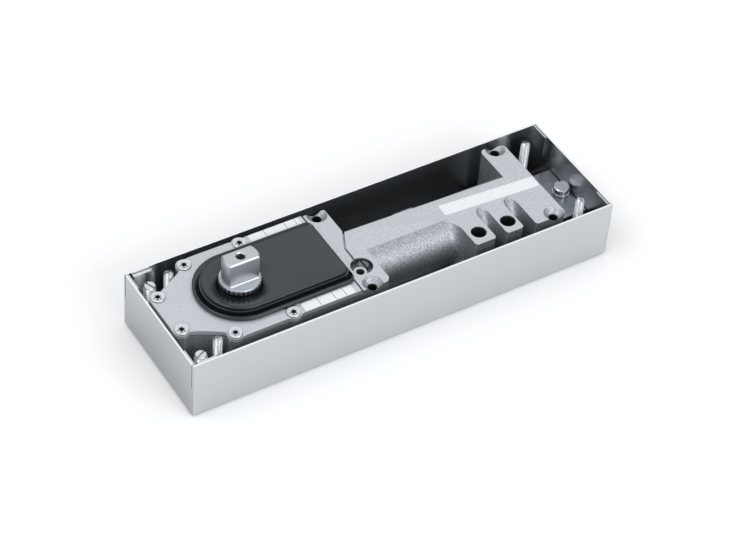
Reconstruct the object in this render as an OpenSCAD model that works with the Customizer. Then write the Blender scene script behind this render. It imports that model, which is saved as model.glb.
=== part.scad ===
// Floor-mounted door closer lying in its open-topped cement box.
// Origin at the centre of the box's underside, +X from the spindle end to the far end, +Z up.
// The closer's own pieces are placed from the spindle axis and from the underside of the casting.

/* [Cement box] */
// Outer length of the box
box_length = 288; // [262:0.5:320]
// Outer width of the box
box_width = 84; // [76:0.5:96]
// Outer height of the box
box_height = 42; // [38:0.5:50]
// Thickness of the box sheet
sheet = 1.2; // [0.8:0.1:1.6]
// Outer radius of the bends at the floor
box_bend = 2.4; // [1.8:0.1:4]
// Depth of the corner slits from the rim
corner_slit = 18; // [8:0.5:26]
// Width of the corner slits
slit_gap = 0.6; // [0.3:0.1:1.2]
// Length of the tabs folded inside the end walls
tab_length = 13; // [6:0.5:18]
// Gap between a tab and the end wall in front of it
tab_gap = 0.15; // [0.05:0.05:0.4]

/* [Closer in its box] */
// Distance from the outside of the spindle end wall to the spindle axis
spindle_from_end = 53; // [52.5:0.5:60]
// Room between the casting's far end and the outside of the box
far_room = 30; // [27:0.5:34]
// Room between the head's straight sides and the outside of the box
head_room = 6.8; // [6.2:0.1:8]
// Thickness of the straps under the casting
strap = 2.2; // [1.5:0.1:3]

/* [Casting] */
// Height of the casting from its underside to the deck
deck_height = 39.3; // [37.5:0.1:44]
// Distance from the spindle axis to the flat end of the head
head_reach = 50.5; // [49:0.5:51]
// Radius of the lugs round the cover screws
lug_radius = 5; // [4.9:0.1:5.3]
// Distance from the spindle axis to the step behind the cover
step_reach = 62.6; // [62.4:0.1:65]
// Distance from the spindle axis to the front shoulder of the head
head_shoulder = 81.5; // [80:0.5:84]
// Outer radius of the round cylinder wall
hump_radius = 20; // [18.5:0.1:20.3]
// Height of the cylinder axis over the casting's underside
axis_height = 20.4; // [20.3:0.1:21]
// Front edge of the flat deck
deck_front = 6.5; // [4:0.5:9]
// Back edge of the deck beside the head
deck_back = 12.2; // [10:0.2:14]
// Narrowing of the deck's back edge over its length
deck_taper = 4; // [0:0.2:5]
// Width of the cross bar at the far end
bar_width = 21.5; // [19:0.5:23]
// Setback of the arm's inner side from the cross bar's
arm_setback = 5; // [0:0.5:6]
// Length of the cross bar over the width of the head
bar_overhang = 0.4; // [0:0.1:1.4]
// Thickness of the head's floor
head_floor = 4; // [3.5:0.1:5]
// Radius of the cam chamber in the head
chamber_radius = 26; // [25:0.1:26.5]
// Radius of the cylinder bore
bore_radius = 14; // [13:0.1:14.5]

/* [Valve fingers] */
// Distance from the casting's far end to the second valve
valve_from_far = 35.5; // [34.8:0.1:38]
// Distance between the two valves
valve_spacing = 20.8; // [18.5:0.1:22]
// Distance of the valves from the middle plane
valve_offset = 25; // [23:0.1:27]
// Radius of the valve bores
valve_bore = 4.8; // [3.8:0.1:5.2]
// Width of the finger round the first valve
finger_first = 14.4; // [12:0.2:15]
// Width of the finger round the second valve
finger_second = 12; // [11.4:0.2:13]
// Radius of the hollow between the cylinder and the first finger
finger_hollow = 7; // [4:0.5:9]
// Reach of the fingers from the middle plane
finger_reach = 34; // [32:0.5:36]
// Depth of the valve screws below the deck
valve_depth = 9.7; // [3:0.1:12]
// Length of a valve screw's body
valve_body = 9; // [6:0.5:10]

/* [Fixing holes] */
// Distance from the spindle axis to the first pair of fixing holes
fixing_first = 70.5; // [70:0.1:71]
// Distance from the casting's far end to the second pair
fixing_from_far = 7; // [6.6:0.1:8.4]
// Distance of the holes from the head's straight sides
fixing_inset = 3; // [2.8:0.1:4.2]
// Radius of the fixing holes
fixing_hole = 2.6; // [2:0.1:3]
// Radius of the fixing holes' countersinks
fixing_sink = 6.4; // [5:0.1:6.8]

/* [Cover of the head] */
// Thickness of the cover plate
cover_thickness = 3; // [2.4:0.1:3.2]
// Rise of the cover's top over the deck
cover_rise = 0.8; // [0:0.1:1.2]
// Thickness of the cover's gasket
gasket = 0.4; // [0.2:0.1:0.6]
// Radius of the cover screws' threads
cover_screw = 2.5; // [2:0.1:2.8]
// Radius of the cover screws' heads
cover_screw_head = 4.3; // [4:0.1:4.4]
// Rise of the cover screws' heads over their seats
cover_screw_rise = 0.9; // [0.2:0.1:1.2]
// Length of the cover screws
cover_screw_length = 16; // [10:0.5:24]

/* [Black shroud] */
// Room between the shroud's base and the head's straight sides
shroud_room = 7.6; // [7.6:0.1:9]
// Width of the ledge round the shroud's raised top
shroud_ledge = 5.1; // [3.6:0.1:6.5]
// Thickness of the shroud's base
shroud_base = 2.6; // [2:0.1:3]
// Height of the shroud
shroud_height = 5.5; // [4.5:0.1:6]
// Distance from the spindle axis to the shroud's straight end
shroud_reach = 62.2; // [58:0.1:62.5]
// Wall of the shroud
shroud_wall = 1.6; // [1.2:0.1:2.2]

/* [Spindle] */
// Radius of the spindle and of its drive head
spindle_radius = 11; // [10:0.1:11.3]
// Distance across the flats of the drive head
head_flats = 11; // [9:0.2:14]
// Height of the drive head's flats
head_height = 16.7; // [12:0.1:40]
// Height of the toothed flange
flange_height = 3.2; // [2.6:0.1:4]
// Outer radius of the toothed flange
flange_radius = 12.5; // [12.2:0.1:13.5]
// Number of teeth on the flange
flange_teeth = 28; // [20:1:36]
// Radius of the threaded hole in the drive head
head_hole = 2.5; // [2:0.1:3.3]
// Depth of the threaded hole in the drive head
head_hole_depth = 14; // [8:0.5:16]
// Radius of the lower journal
journal_radius = 8; // [7.4:0.1:8.3]
// Radius of the cam seat
cam_seat = 9; // [8.6:0.1:9.3]

/* [Cam and piston] */
// Distance from the spindle axis to the roller's centre with the door closed
roller_rest = 17.5; // [17.3:0.1:18.5]
// Radius of the cam roller
roller_radius = 6.5; // [6:0.1:6.7]
// Radius of the roller's pin
pin_radius = 3; // [2.5:0.1:3.5]
// Thickness of the cam
cam_thickness = 7; // [5.8:0.1:7.2]
// Travel of the piston over the door's opening
piston_stroke = 12; // [8:0.5:13]
// Opening angle of the door
opening_angle = 130; // [90:5:140]
// Length of the piston's body
piston_length = 24; // [16:0.5:26]
// Distance from the roller's centre to the piston's body
fork_length = 23.5; // [22:0.5:26]
// Thickness of the fork's cheeks
cheek_thickness = 5; // [4:0.1:5.2]
// Width of the fork's cheeks
cheek_width = 18; // [14:0.5:20]

/* [Closing spring] */
// Mean radius of the closing spring
spring_radius = 10.5; // [10:0.1:10.8]
// Radius of the spring's wire
spring_wire = 2; // [1.4:0.1:2.1]
// Number of the spring's curls
spring_curls = 12; // [8:1:14]
// Room between the spring and the end plug, for the seat and the force screw's collar
adjuster_room = 14.5; // [13.5:0.5:20]
// Thickness of the spring seat
seat_thickness = 6; // [4:0.5:7]
// Radius of the force screw
force_screw_radius = 4; // [3:0.1:4.5]
// Radius of the end plug
plug_radius = 15.5; // [15:0.1:16]
// Length of the end plug
plug_length = 14; // [10:0.5:14]

/* [Bearings and seal] */
// Radius of the needles
needle_radius = 1; // [0.8:0.05:1.1]
// Length of the upper needles
upper_needle_length = 4.2; // [3:0.1:4.4]
// Length of the lower needles
lower_needle_length = 7; // [5:0.1:7.4]
// Number of needles in the upper bearing
upper_needles = 20; // [14:1:22]
// Number of needles in the lower bearing
lower_needles = 15; // [10:1:16]
// Wall of the bearing cups
cup_wall = 1.1; // [0.8:0.05:1.2]
// Thickness of the thrust washer
thrust_washer_height = 1; // [0.6:0.1:1.4]

/* [Screws of the box] */
// Radius of the cover studs
stud_radius = 3; // [2:0.1:3.4]
// Height of the cover studs' tops over the box floor
stud_top = 40.3; // [30:0.1:44]
// Distance from the box end to the studs at the spindle end
stud_from_end = 22.6; // [22:0.1:23]
// Distance from the box end to the studs at the far end
stud_from_far_end = 15.8; // [14:0.1:18]
// Distance from the box side to the studs
stud_from_side = 12.3; // [11:0.1:12.9]
// Thickness of the thread on the studs, which stops over the nut
stud_thread = 0.3; // [0.2:0.05:0.5]
// Radius of the levelling screws
level_radius = 4; // [3:0.1:4.2]
// Height of the levelling screws' tops over the box floor
level_top = 35.8; // [20:0.1:38]
// Distance from the box end to the levelling screws
level_from_end = 11; // [10.5:0.1:11.5]
// Distance from the box side to the levelling screws
level_from_side = 11; // [10.5:0.1:11.5]
// Width of the strap under the head
carrier_width = 13; // [12:0.5:14]
// Height of the strap's upright legs over the box floor
leg_height = 39; // [20:0.5:40.5]
// Radius of the clamp screw
clamp_radius = 3; // [2:0.1:3.4]
// Radius of the clamp screw's head
clamp_head = 5.2; // [4.5:0.1:5.6]
// Distance from the far box end to the clamp screw
clamp_from_end = 7; // [6.8:0.1:9]
// Height of the bracket's ledge over the box floor
ledge_height = 19.2; // [14:0.1:22]
// Width of the bracket
bracket_width = 41; // [30:0.5:46]

/* [Hidden] */
$fn = 64;

// Small overlap that carries a cut past a face
cut = 1;
// Radial clearance of pieces that turn or slide in one another
run = 0.05;
// Radial clearance of pieces that are fixed in one another
fixed = 0.02;
// Gap between the cam and its roller
cam_gap = 0.06;

// Box
inner_length = box_length - 2 * sheet;
inner_width = box_width - 2 * sheet;
spindle_x = -box_length / 2 + spindle_from_end;
closer_z = sheet + strap;

// Casting, measured from the spindle axis and its own underside
casting_reach = box_length - spindle_from_end - far_room;
head_side = box_width / 2 - head_room;
bar_side = head_side + bar_overhang / 2;
cover_top = deck_height + cover_rise;
cover_bottom = cover_top - cover_thickness;
seat_height = cover_bottom - gasket;
bar_start = casting_reach - bar_width;
fixing_side = head_side - fixing_inset;
fixing_far = casting_reach - fixing_from_far;
valve_first = casting_reach - valve_from_far - valve_spacing;
pad_start = casting_reach - 93;
pad_length = 13.5;
bore_start = 34;
pocket_x = 72;
pocket_y = 18 - head_side;
pocket_radius = 6.8;
pocket_depth = 3.5;
filler_x = pocket_x - 3.2;
filler_y = pocket_y - 3.8;
filler_radius = 2.6;
filler_boss = 4;
hold_x = pocket_x + 2.3;
hold_y = pocket_y + 1.7;
hold_head = 3.3;
hold_stem = 2.2;

// Cover
cover_reach = step_reach - 1.5;
screw_seat_radius = lug_radius + 1.2;
screw_seat_depth = 0.3;
screw_seat_top = cover_top - screw_seat_depth;
screw_end_side = head_side - 20.7;
screw_end_x = -head_reach + lug_radius;
screw_corner_x = -19.8;
screw_corner_side = head_side - 4.4;
screw_mid_x = 17.6;
screw_mid_side = head_side - 3.2;
chamfer_inner = [-37, head_side - 15];
chamfer_outer = [-25, head_side - 8];
cover_screws_at = [
    [screw_end_x, screw_end_side], [screw_corner_x, screw_corner_side], [screw_mid_x, screw_mid_side]
];
shroud_base_radius = head_side - shroud_room;
shroud_top_radius = shroud_base_radius - shroud_ledge;

// Bare label strips: place of the middle and length
label_width = 6.6;
label_thickness = 0.15;
cover_labels = [[40.9, 3.5 - head_side, 33.4], [41.7, head_side - 3.7, 34]];
body_label = [casting_reach - 33.4, -1.3, 65.5];
body_label_width = 8.8;
body_label_turn = -3.6;

// Cam, roller and piston along the closer
cam_bottom = axis_height - cam_thickness / 2;
cam_top = axis_height + cam_thickness / 2;
roller_thickness = cam_thickness - 0.4;
cheek_inside = cam_thickness / 2 + 0.3;
cheek_tip = 12;
piston_face = roller_rest + fork_length;
piston_end = piston_face + piston_length;
piston_radius = bore_radius - run;
spigot_radius = spring_radius - spring_wire - 1;
collar_length = 3;
plug_start = casting_reach - 1.5 - plug_length;
collar_start = plug_start - collar_length;
spring_end = plug_start - adjuster_room;
spring_length = spring_end - piston_end;
force_screw_start = spring_end - 14;
seal_groove_start = 9;
seal_groove_width = 2.4;
seal_groove_depth = 1.6;
seal_slack = 0.1;
plug_groove_start = 3;
plug_groove_width = 2.4;
plug_groove_depth = 1.8;
plug_ring_wire = 0.88;

// Spindle heights
journal_top = 11.4;
lower_cup_bottom = head_floor - 2;
shaft_bottom = lower_cup_bottom + thrust_washer_height + run;
flange_bottom = deck_height + 6.1;
circlip_height = 1.2;
circlip_bottom = cam_bottom - circlip_height;
circlip_groove = 0.6;
circlip_outer = cam_seat + 2.2;
socket_size = 11;
socket_depth = 14;
key_width = 3;
key_depth = 1.5;

// Bearings
upper_track = spindle_radius + run + needle_radius;
upper_cup_inner = upper_track + needle_radius + run;
upper_cup_outer = upper_cup_inner + cup_wall;
upper_cup_bottom = 30.6;
cup_lip = 0.5;
cage_end = 0.25;
cup_extra = 2 * (cup_lip + cage_end + 0.1);
upper_cup_height = upper_needle_length + cup_extra;
boss_bottom = 29.6;
boss_radius = 17;
lower_track = journal_radius + run + needle_radius;
lower_cup_inner = lower_track + needle_radius + run;
lower_cup_outer = lower_cup_inner + cup_wall;
lower_cup_height = lower_needle_length + cup_extra;
lower_ring_top = 11;
seal_bottom = upper_cup_bottom + upper_cup_height + 0.2;
seal_outer = 15;
seal_height = cover_top - seal_bottom - 0.3;

// Box screws
stud_nut_height = 10;
stud_nut_radius = 4.6;
stud_bottom = 0.2;
stud_left_x = -box_length / 2 + stud_from_end;
stud_right_x = box_length / 2 - stud_from_far_end;
stud_side = box_width / 2 - stud_from_side;
stud_foot = stud_radius - stud_thread;
level_x = -box_length / 2 + level_from_end;
level_side = box_width / 2 - level_from_side;
carrier_round = strap + 0.8;
carrier_wall_gap = 0.3;
leg_corner = 1.5;
level_nut_across = 13;
level_nut_height = 6;
clamp_x = box_length / 2 - clamp_from_end;
washer_thickness = 1.6;
washer_radius = 6;
clamp_head_height = 3.9;
carrier_screw = 2;
carrier_screw_head = 3.9;
carrier_screw_length = 9;
carrier_screw_side = 8;
bracket_foot = 16;
bracket_screw_side = 12;
bracket_screw_x = casting_reach - 8;

module in_closer() {
    translate([spindle_x, 0, closer_z])
        children();
}

// Turned about the cylinder's axis, which lies along X
module along_cylinder(start) {
    translate([start, 0, axis_height])
        rotate([0, 90, 0])
            children();
}

module both_sides() {
    children();
    mirror([0, 1, 0])
        children();
}

module box_between(low, high) {
    translate(low)
        cube(high - low);
}

module slot_cut(width, depth, reach) {
    translate([-reach, -width / 2, -depth])
        cube([2 * reach, width, depth + cut]);
}

module hex_cut(across, depth) {
    translate([0, 0, -depth])
        cylinder(r = across / sqrt(3), h = depth + cut, $fn = 6);
}

// Cement box, folded from one sheet
module box_section(length, width, bend) {
    // A tray's outer block, with its two bottom edges along X rounded
    rotate([90, 0, 90])
        translate([0, 0, -length / 2])
            linear_extrude(height = length)
                union() {
                    translate([-width / 2, bend])
                        square([width, box_height + cut]);
                    translate([-width / 2 + bend, 0])
                        square([width - 2 * bend, bend + cut]);
                    for (side = [-1, 1])
                        translate([side * (width / 2 - bend), bend])
                            circle(r = bend);
                }
}

module box_block(shrink) {
    bend = max(box_bend - shrink, 0.3);
    translate([0, 0, shrink])
        intersection() {
            box_section(box_length - 2 * shrink, box_width - 2 * shrink, bend);
            rotate([0, 0, 90])
                box_section(box_width - 2 * shrink, box_length - 2 * shrink, bend);
            translate([-box_length / 2, -box_width / 2, -cut])
                cube([box_length, box_width, box_height + (shrink > 0 ? 2 : 1) * cut]);
        }
}

module box_tab() {
    translate([-inner_length / 2 + tab_gap, -inner_width / 2 - sheet / 2, box_height - corner_slit])
        cube([sheet, tab_length + sheet / 2, corner_slit - 0.6]);
}

module corner_slits() {
    // Each slit separates the end wall's edge from the long wall
    for (end = [0, 180])
        rotate([0, 0, end])
            both_sides()
                translate([-box_length / 2 - cut, -inner_width / 2, box_height - corner_slit])
                    cube([sheet + cut + tab_gap, slit_gap, corner_slit + cut]);
}

module cement_box() {
    color("gainsboro")
        union() {
            difference() {
                intersection() {
                    box_block(0);
                    translate([-box_length, -box_width, 0])
                        cube([2 * box_length, 2 * box_width, box_height]);
                }
                box_block(sheet);
                corner_slits();
            }
            for (end = [0, 180])
                rotate([0, 0, end])
                    both_sides()
                        box_tab();
        }
}

module stud_nuts() {
    color("silver")
        for (x = [stud_left_x, stud_right_x], y = [-stud_side, stud_side])
            translate([x, y, sheet])
                difference() {
                    union() {
                        cylinder(r = stud_nut_radius, h = 1.5);
                        cylinder(r = stud_nut_radius - 1, h = stud_nut_height);
                    }
                    translate([0, 0, -cut])
                        cylinder(r = stud_foot + run, h = stud_nut_height + 2 * cut);
                }
}

// Slotted stud with a domed top
module cover_stud(x, y, turn) {
    length = stud_top - stud_bottom;
    dome = 1;
    foot = stud_nut_height - stud_bottom + 0.3;
    color("whitesmoke")
        translate([x, y, sheet + stud_bottom])
            difference() {
                union() {
                    cylinder(r = stud_foot, h = foot + 0.1);
                    translate([0, 0, foot])
                        cylinder(r = stud_radius, h = length - dome - foot);
                    translate([0, 0, length - dome])
                        cylinder(r1 = stud_radius, r2 = stud_radius - 1.2, h = dome);
                }
                translate([0, 0, length])
                    rotate([0, 0, turn])
                        slot_cut(1, 1.6, 2 * stud_radius);
            }
}

module cover_stud_front_left() {
    cover_stud(stud_left_x, -stud_side, 20);
}

module cover_stud_back_left() {
    cover_stud(stud_left_x, stud_side, 15);
}

module cover_stud_front_right() {
    cover_stud(stud_right_x, -stud_side, 85);
}

module cover_stud_back_right() {
    cover_stud(stud_right_x, stud_side, 150);
}

module level_screw(y, turn) {
    length = level_top - 0.3;
    edge = 0.9;
    color("whitesmoke")
        translate([level_x, y, sheet + 0.3])
            difference() {
                union() {
                    translate([0, 0, edge])
                        cylinder(r = level_radius, h = length - 2 * edge);
                    cylinder(r1 = level_radius - edge, r2 = level_radius, h = edge);
                    translate([0, 0, length - edge])
                        cylinder(r1 = level_radius, r2 = level_radius - edge, h = edge);
                }
                translate([0, 0, length])
                    rotate([0, 0, turn])
                        slot_cut(1.3, 2.4, 2 * level_radius);
            }
}

module level_screw_front() {
    level_screw(-level_side, 55);
}

module level_screw_back() {
    level_screw(level_side, -35);
}

// Lower part of the carrier's strap, seen along the box, with its two bends
module carrier_bend(outside) {
    translate([-outside + carrier_round, 0])
        square([2 * (outside - carrier_round), strap]);
    for (side = [0, 1])
        mirror([side, 0])
            intersection() {
                translate([outside - carrier_round, carrier_round])
                    difference() {
                        circle(r = carrier_round);
                        circle(r = carrier_round - strap);
                    }
                translate([outside - carrier_round, 0])
                    square([carrier_round, carrier_round]);
            }
}

// Strap under the head, turned up along the long walls, with a weld nut for each levelling screw
module left_carrier() {
    half = carrier_width / 2;
    outside = inner_width / 2 - carrier_wall_gap;
    leg_top = leg_height - leg_corner;
    color("silver")
        translate([level_x, 0, sheet])
            difference() {
                union() {
                    translate([-half, 0, 0])
                        rotate([90, 0, 90])
                            linear_extrude(height = 2 * half)
                                carrier_bend(outside);
                    both_sides() {
                        box_between([-half, outside - strap, carrier_round], [half, outside, leg_top]);
                        box_between([-half, outside - strap, carrier_round], [half - leg_corner, outside, leg_height]);
                        translate([half - leg_corner, outside, leg_top])
                            rotate([90, 0, 0])
                                cylinder(r = leg_corner, h = strap);
                        translate([0, level_side, 0])
                            rotate([0, 0, 30])
                                cylinder(r = level_nut_across / sqrt(3), h = strap + level_nut_height, $fn = 6);
                    }
                }
                for (y = [-level_side, level_side])
                    translate([0, y, -cut])
                        cylinder(r = level_radius + run, h = strap + level_nut_height + 2 * cut);
                for (y = [-carrier_screw_side, carrier_screw_side])
                    translate([0, y, 0])
                        carrier_screw_hole();
            }
}

// Hole for a countersunk screw driven up from below
module carrier_screw_hole() {
    sink = carrier_screw_head - carrier_screw;
    translate([0, 0, -cut])
        cylinder(r = carrier_screw + fixed, h = strap + 2 * cut);
    cylinder(r1 = carrier_screw_head + fixed, r2 = carrier_screw + fixed, h = sink);
}

// Strip bent twice: foot under the cross bar, upright, and ledge up to the end wall
module end_bracket() {
    upright_x = spindle_x + casting_reach + 2.5;
    ledge_end = inner_length / 2 - 0.4;
    half = bracket_width / 2;
    color("lightgray")
        translate([0, 0, sheet])
            difference() {
                union() {
                    box_between([upright_x - bracket_foot - 2.5, -half, 0], [upright_x + strap, half, strap]);
                    box_between([upright_x, -half, 0], [upright_x + strap, half, ledge_height]);
                    box_between([upright_x, -half, ledge_height - strap], [ledge_end, half, ledge_height]);
                }
                translate([clamp_x, 0, 0])
                    cylinder(r = clamp_radius + 0.4, h = ledge_height + cut);
                for (y = [-bracket_screw_side, bracket_screw_side])
                    translate([spindle_x + bracket_screw_x, y, 0])
                        carrier_screw_hole();
            }
}

module carrier_screw_solid() {
    sink = carrier_screw_head - carrier_screw;
    difference() {
        union() {
            cylinder(r = carrier_screw, h = carrier_screw_length);
            cylinder(r1 = carrier_screw_head, r2 = carrier_screw, h = sink);
        }
        rotate([180, 0, 0])
            hex_cut(2.5, 1.4);
    }
}

module carrier_screws() {
    color("silver")
        translate([0, 0, sheet]) {
            for (y = [-carrier_screw_side, carrier_screw_side])
                translate([level_x, y, 0])
                    carrier_screw_solid();
            for (y = [-bracket_screw_side, bracket_screw_side])
                translate([spindle_x + bracket_screw_x, y, 0])
                    carrier_screw_solid();
        }
}

module clamp_pillar() {
    height = ledge_height - strap;
    color("silver")
        translate([clamp_x, 0, sheet])
            difference() {
                rotate([0, 0, 30])
                    cylinder(r = 5.2, h = height, $fn = 6);
                translate([0, 0, 3])
                    cylinder(r = clamp_radius + fixed, h = height);
            }
}

module clamp_washer() {
    color("silver")
        translate([clamp_x, 0, sheet + ledge_height])
            difference() {
                cylinder(r = min(washer_radius, clamp_from_end - sheet - 0.1), h = washer_thickness);
                translate([0, 0, -cut])
                    cylinder(r = clamp_radius + 0.2, h = washer_thickness + 2 * cut);
            }
}

module clamp_screw() {
    under_head = ledge_height + washer_thickness;
    shank = under_head - 6;
    color("silver")
        translate([clamp_x, 0, sheet + under_head])
            difference() {
                union() {
                    translate([0, 0, -shank])
                        cylinder(r = clamp_radius, h = shank);
                    cylinder(r = clamp_head, h = clamp_head_height - 0.5);
                    translate([0, 0, clamp_head_height - 0.5])
                        cylinder(r1 = clamp_head, r2 = clamp_head - 0.6, h = 0.5);
                }
                translate([0, 0, clamp_head_height])
                    rotate([0, 0, 75])
                        slot_cut(1.6, 1.8, 2 * clamp_head);
            }
}

// Outline of the head, seen from above: straight sides, chamfered end corners, round screw lugs
module head_outline(reach) {
    polygon([
        [-head_reach, -screw_end_side], chamfer_inner_at(-1), chamfer_outer_at(-1),
        [screw_corner_x, -head_side], [reach, -head_side], [reach, head_side],
        [screw_corner_x, head_side], chamfer_outer_at(1), chamfer_inner_at(1),
        [-head_reach, screw_end_side]
    ]);
    for (at = cover_screws_at, side = [-1, 1])
        translate([at[0], side * at[1]])
            circle(r = lug_radius);
}

function chamfer_inner_at(side) = [chamfer_inner[0], side * chamfer_inner[1]];
function chamfer_outer_at(side) = [chamfer_outer[0], side * chamfer_outer[1]];

// Chamber for the cam, seen from above, with its way into the cylinder
module chamber_outline() {
    circle(r = chamber_radius);
    translate([0, -bore_radius - 2])
        square([bore_start + 2, 2 * bore_radius + 4]);
}

module countersunk_hole(hole, sink, top) {
    translate([0, 0, -cut])
        cylinder(r = hole, h = top + 2 * cut);
    translate([0, 0, top - (sink - hole)])
        cylinder(r1 = hole, r2 = sink, h = sink - hole);
    translate([0, 0, top - 0.01])
        cylinder(r = sink, h = cut);
}

module deck_outline() {
    start = head_shoulder - 7;
    polygon([
        [start, -deck_front], [casting_reach, -deck_front],
        [casting_reach, deck_back - deck_taper], [start, deck_back]
    ]);
}

// Fingers and the web between them, before the hollows are cut
module finger_block() {
    lean = 2;
    foot = 5;
    round = 2;
    start = valve_first - finger_first / 2 - finger_hollow;
    intersection() {
        translate([start, 0, 0])
            rotate([90, 0, 90])
                linear_extrude(height = bar_start + 2 - start)
                    polygon([
                        [0, foot], [-finger_reach + lean, foot], [-finger_reach, deck_height], [0, deck_height]
                    ]);
        union() {
            box_between([start, -finger_reach + round, 0], [bar_start + 2, 0, deck_height]);
            finger_noses(round);
        }
    }
}

// Round-cornered front ends of the fingers
module finger_noses(round) {
    for (at = [[valve_first, finger_first], [valve_first + valve_spacing, finger_second]])
        linear_extrude(height = deck_height)
            union() {
                translate([at[0] - at[1] / 2 + round, -finger_reach])
                    square([at[1] - 2 * round, 2 * round]);
                for (side = [-1, 1])
                    translate([at[0] + side * (at[1] / 2 - round), -finger_reach + round])
                        circle(r = round);
            }
}

// Round-bottomed hollow that runs round the cylinder wall
module hollow(x, radius) {
    intersection() {
        along_cylinder(x)
            rotate_extrude()
                union() {
                    translate([hump_radius + radius, 0])
                        circle(r = radius);
                    translate([hump_radius + radius, -radius])
                        square([2 * hump_radius, 2 * radius]);
                }
        box_between([x - 2 * radius, -3 * hump_radius, 0], [x + 2 * radius, 0, 3 * hump_radius]);
    }
}

module finger_hollows() {
    first_end = valve_first + finger_first / 2;
    second_start = valve_first + valve_spacing - finger_second / 2;
    second_end = valve_first + valve_spacing + finger_second / 2;
    hollow(valve_first - finger_first / 2 - finger_hollow, finger_hollow);
    hollow((first_end + second_start) / 2, (second_start - first_end) / 2);
    hollow((second_end + bar_start) / 2, (bar_start - second_end) / 2);
}

module head_body() {
    shoulder_back = head_shoulder - 4.7;
    corner = 4;
    linear_extrude(height = seat_height)
        head_outline(shoulder_back - 3);
    // The part behind the cover stands up to the deck
    linear_extrude(height = deck_height)
        union() {
            polygon([
                [step_reach, -head_side], [head_shoulder - corner, -head_side],
                [head_shoulder, -head_side + corner], [head_shoulder, 0],
                [shoulder_back, deck_back], [shoulder_back, head_side - 1.5],
                [shoulder_back - 1.5, head_side], [step_reach, head_side]
            ]);
            translate([head_shoulder - corner, -head_side + corner])
                circle(r = corner);
        }
}

module cross_bar() {
    half = bar_side;
    linear_extrude(height = deck_height)
        union() {
            polygon([
                [bar_start, -half + 2], [bar_start + 2, -half], [casting_reach - 3, -half],
                [casting_reach, -half + 3], [casting_reach, half - 5], [casting_reach - 5, half],
                [bar_start + arm_setback + 3, half], [bar_start + arm_setback, half - 3],
                [bar_start + arm_setback, 0], [bar_start, -deck_front]
            ]);
            translate([casting_reach - 5, half - 5])
                circle(r = 5);
            translate([casting_reach - 3, -half + 3])
                circle(r = 3);
            translate([bar_start + 2, -half + 2])
                circle(r = 2);
            translate([bar_start + arm_setback + 3, half - 3])
                circle(r = 3);
        }
}

module back_pad() {
    pad_top = deck_height - 1.6;
    box_between([pad_start, 0, axis_height], [pad_start + pad_length, deck_back + 0.8, pad_top]);
}

module valve_bores() {
    for (i = [0, 1])
        translate([valve_first + i * valve_spacing, -valve_offset, 0]) {
            translate([0, 0, deck_height - valve_depth - valve_body])
                cylinder(r = valve_bore, h = valve_depth + valve_body + cut);
            translate([0, 0, 9])
                cylinder(r = 1.7, h = deck_height - 9 - valve_depth);
        }
}

module pocket_cut() {
    difference() {
        translate([pocket_x, pocket_y, deck_height - pocket_depth])
            cylinder(r = pocket_radius, h = pocket_depth + cut);
        translate([filler_x, filler_y, deck_height - pocket_depth - cut])
            cylinder(r = filler_boss, h = pocket_depth + 3 * cut);
    }
    translate([filler_x, filler_y, deck_height - 9])
        cylinder(r = filler_radius, h = 9 + cut);
    translate([hold_x, hold_y, deck_height - pocket_depth - 7])
        cylinder(r = hold_stem + run, h = 7 + cut);
}

// Narrow groove across the deck between the head and the cylinder
module deck_groove() {
    width = 1.3;
    depth = 1.6;
    points = [[77.9, 14], [70.8, 0], [70.6, -12]];
    translate([0, 0, deck_height - depth])
        for (i = [0, 1]) {
            run_vector = points[i + 1] - points[i];
            translate([points[i][0], points[i][1], 0])
                rotate([0, 0, atan2(run_vector[1], run_vector[0])])
                    translate([-width / 4, -width / 2, 0])
                        cube([norm(run_vector) + width / 2, width, depth + cut]);
        }
}

module closer_housing() {
    color("lightgray")
        in_closer()
            difference() {
                union() {
                    difference() {
                        head_body();
                        translate([0, 0, head_floor])
                            linear_extrude(height = deck_height)
                                chamber_outline();
                    }
                    cylinder(r = lower_cup_outer + 3, h = lower_ring_top);
                    along_cylinder(step_reach + 1)
                        cylinder(r = hump_radius, h = casting_reach - step_reach - 2);
                    translate([0, 0, axis_height])
                        linear_extrude(height = deck_height - axis_height)
                            deck_outline();
                    difference() {
                        finger_block();
                        finger_hollows();
                    }
                    cross_bar();
                    back_pad();
                }
                // The deck is machined flat, which takes the crown off the cylinder wall
                translate([-head_reach - 10, -box_width / 2, deck_height])
                    cube([casting_reach + head_reach + 20, box_width, hump_radius]);
                along_cylinder(bore_start)
                    cylinder(r = bore_radius, h = casting_reach);
                along_cylinder(plug_start)
                    cylinder(r = plug_radius + fixed, h = plug_length + 2 + cut);
                translate([0, 0, lower_cup_bottom])
                    cylinder(r = lower_cup_outer + fixed, h = lower_ring_top);
                for (at = cover_screws_at, side = [-1, 1])
                    translate([at[0], side * at[1], screw_seat_top - cover_screw_length - 0.5])
                        cylinder(r = cover_screw + fixed, h = cover_screw_length);
                for (x = [fixing_first, fixing_far], y = [-fixing_side, fixing_side])
                    translate([x, y, 0])
                        countersunk_hole(fixing_hole, fixing_sink, deck_height);
                for (y = [-carrier_screw_side, carrier_screw_side])
                    translate([level_x - spindle_x, y, -cut])
                        cylinder(r = carrier_screw + fixed, h = carrier_screw_length + cut);
                for (y = [-bracket_screw_side, bracket_screw_side])
                    translate([bracket_screw_x, y, -cut])
                        cylinder(r = carrier_screw + fixed, h = carrier_screw_length - strap + 0.5 + cut);
                valve_bores();
                pocket_cut();
                deck_groove();
            }
}

module cover_screw_holes(bottom, height) {
    for (at = cover_screws_at, side = [-1, 1])
        translate([at[0], side * at[1], bottom])
            cylinder(r = cover_screw + 0.2, h = height);
}

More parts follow.
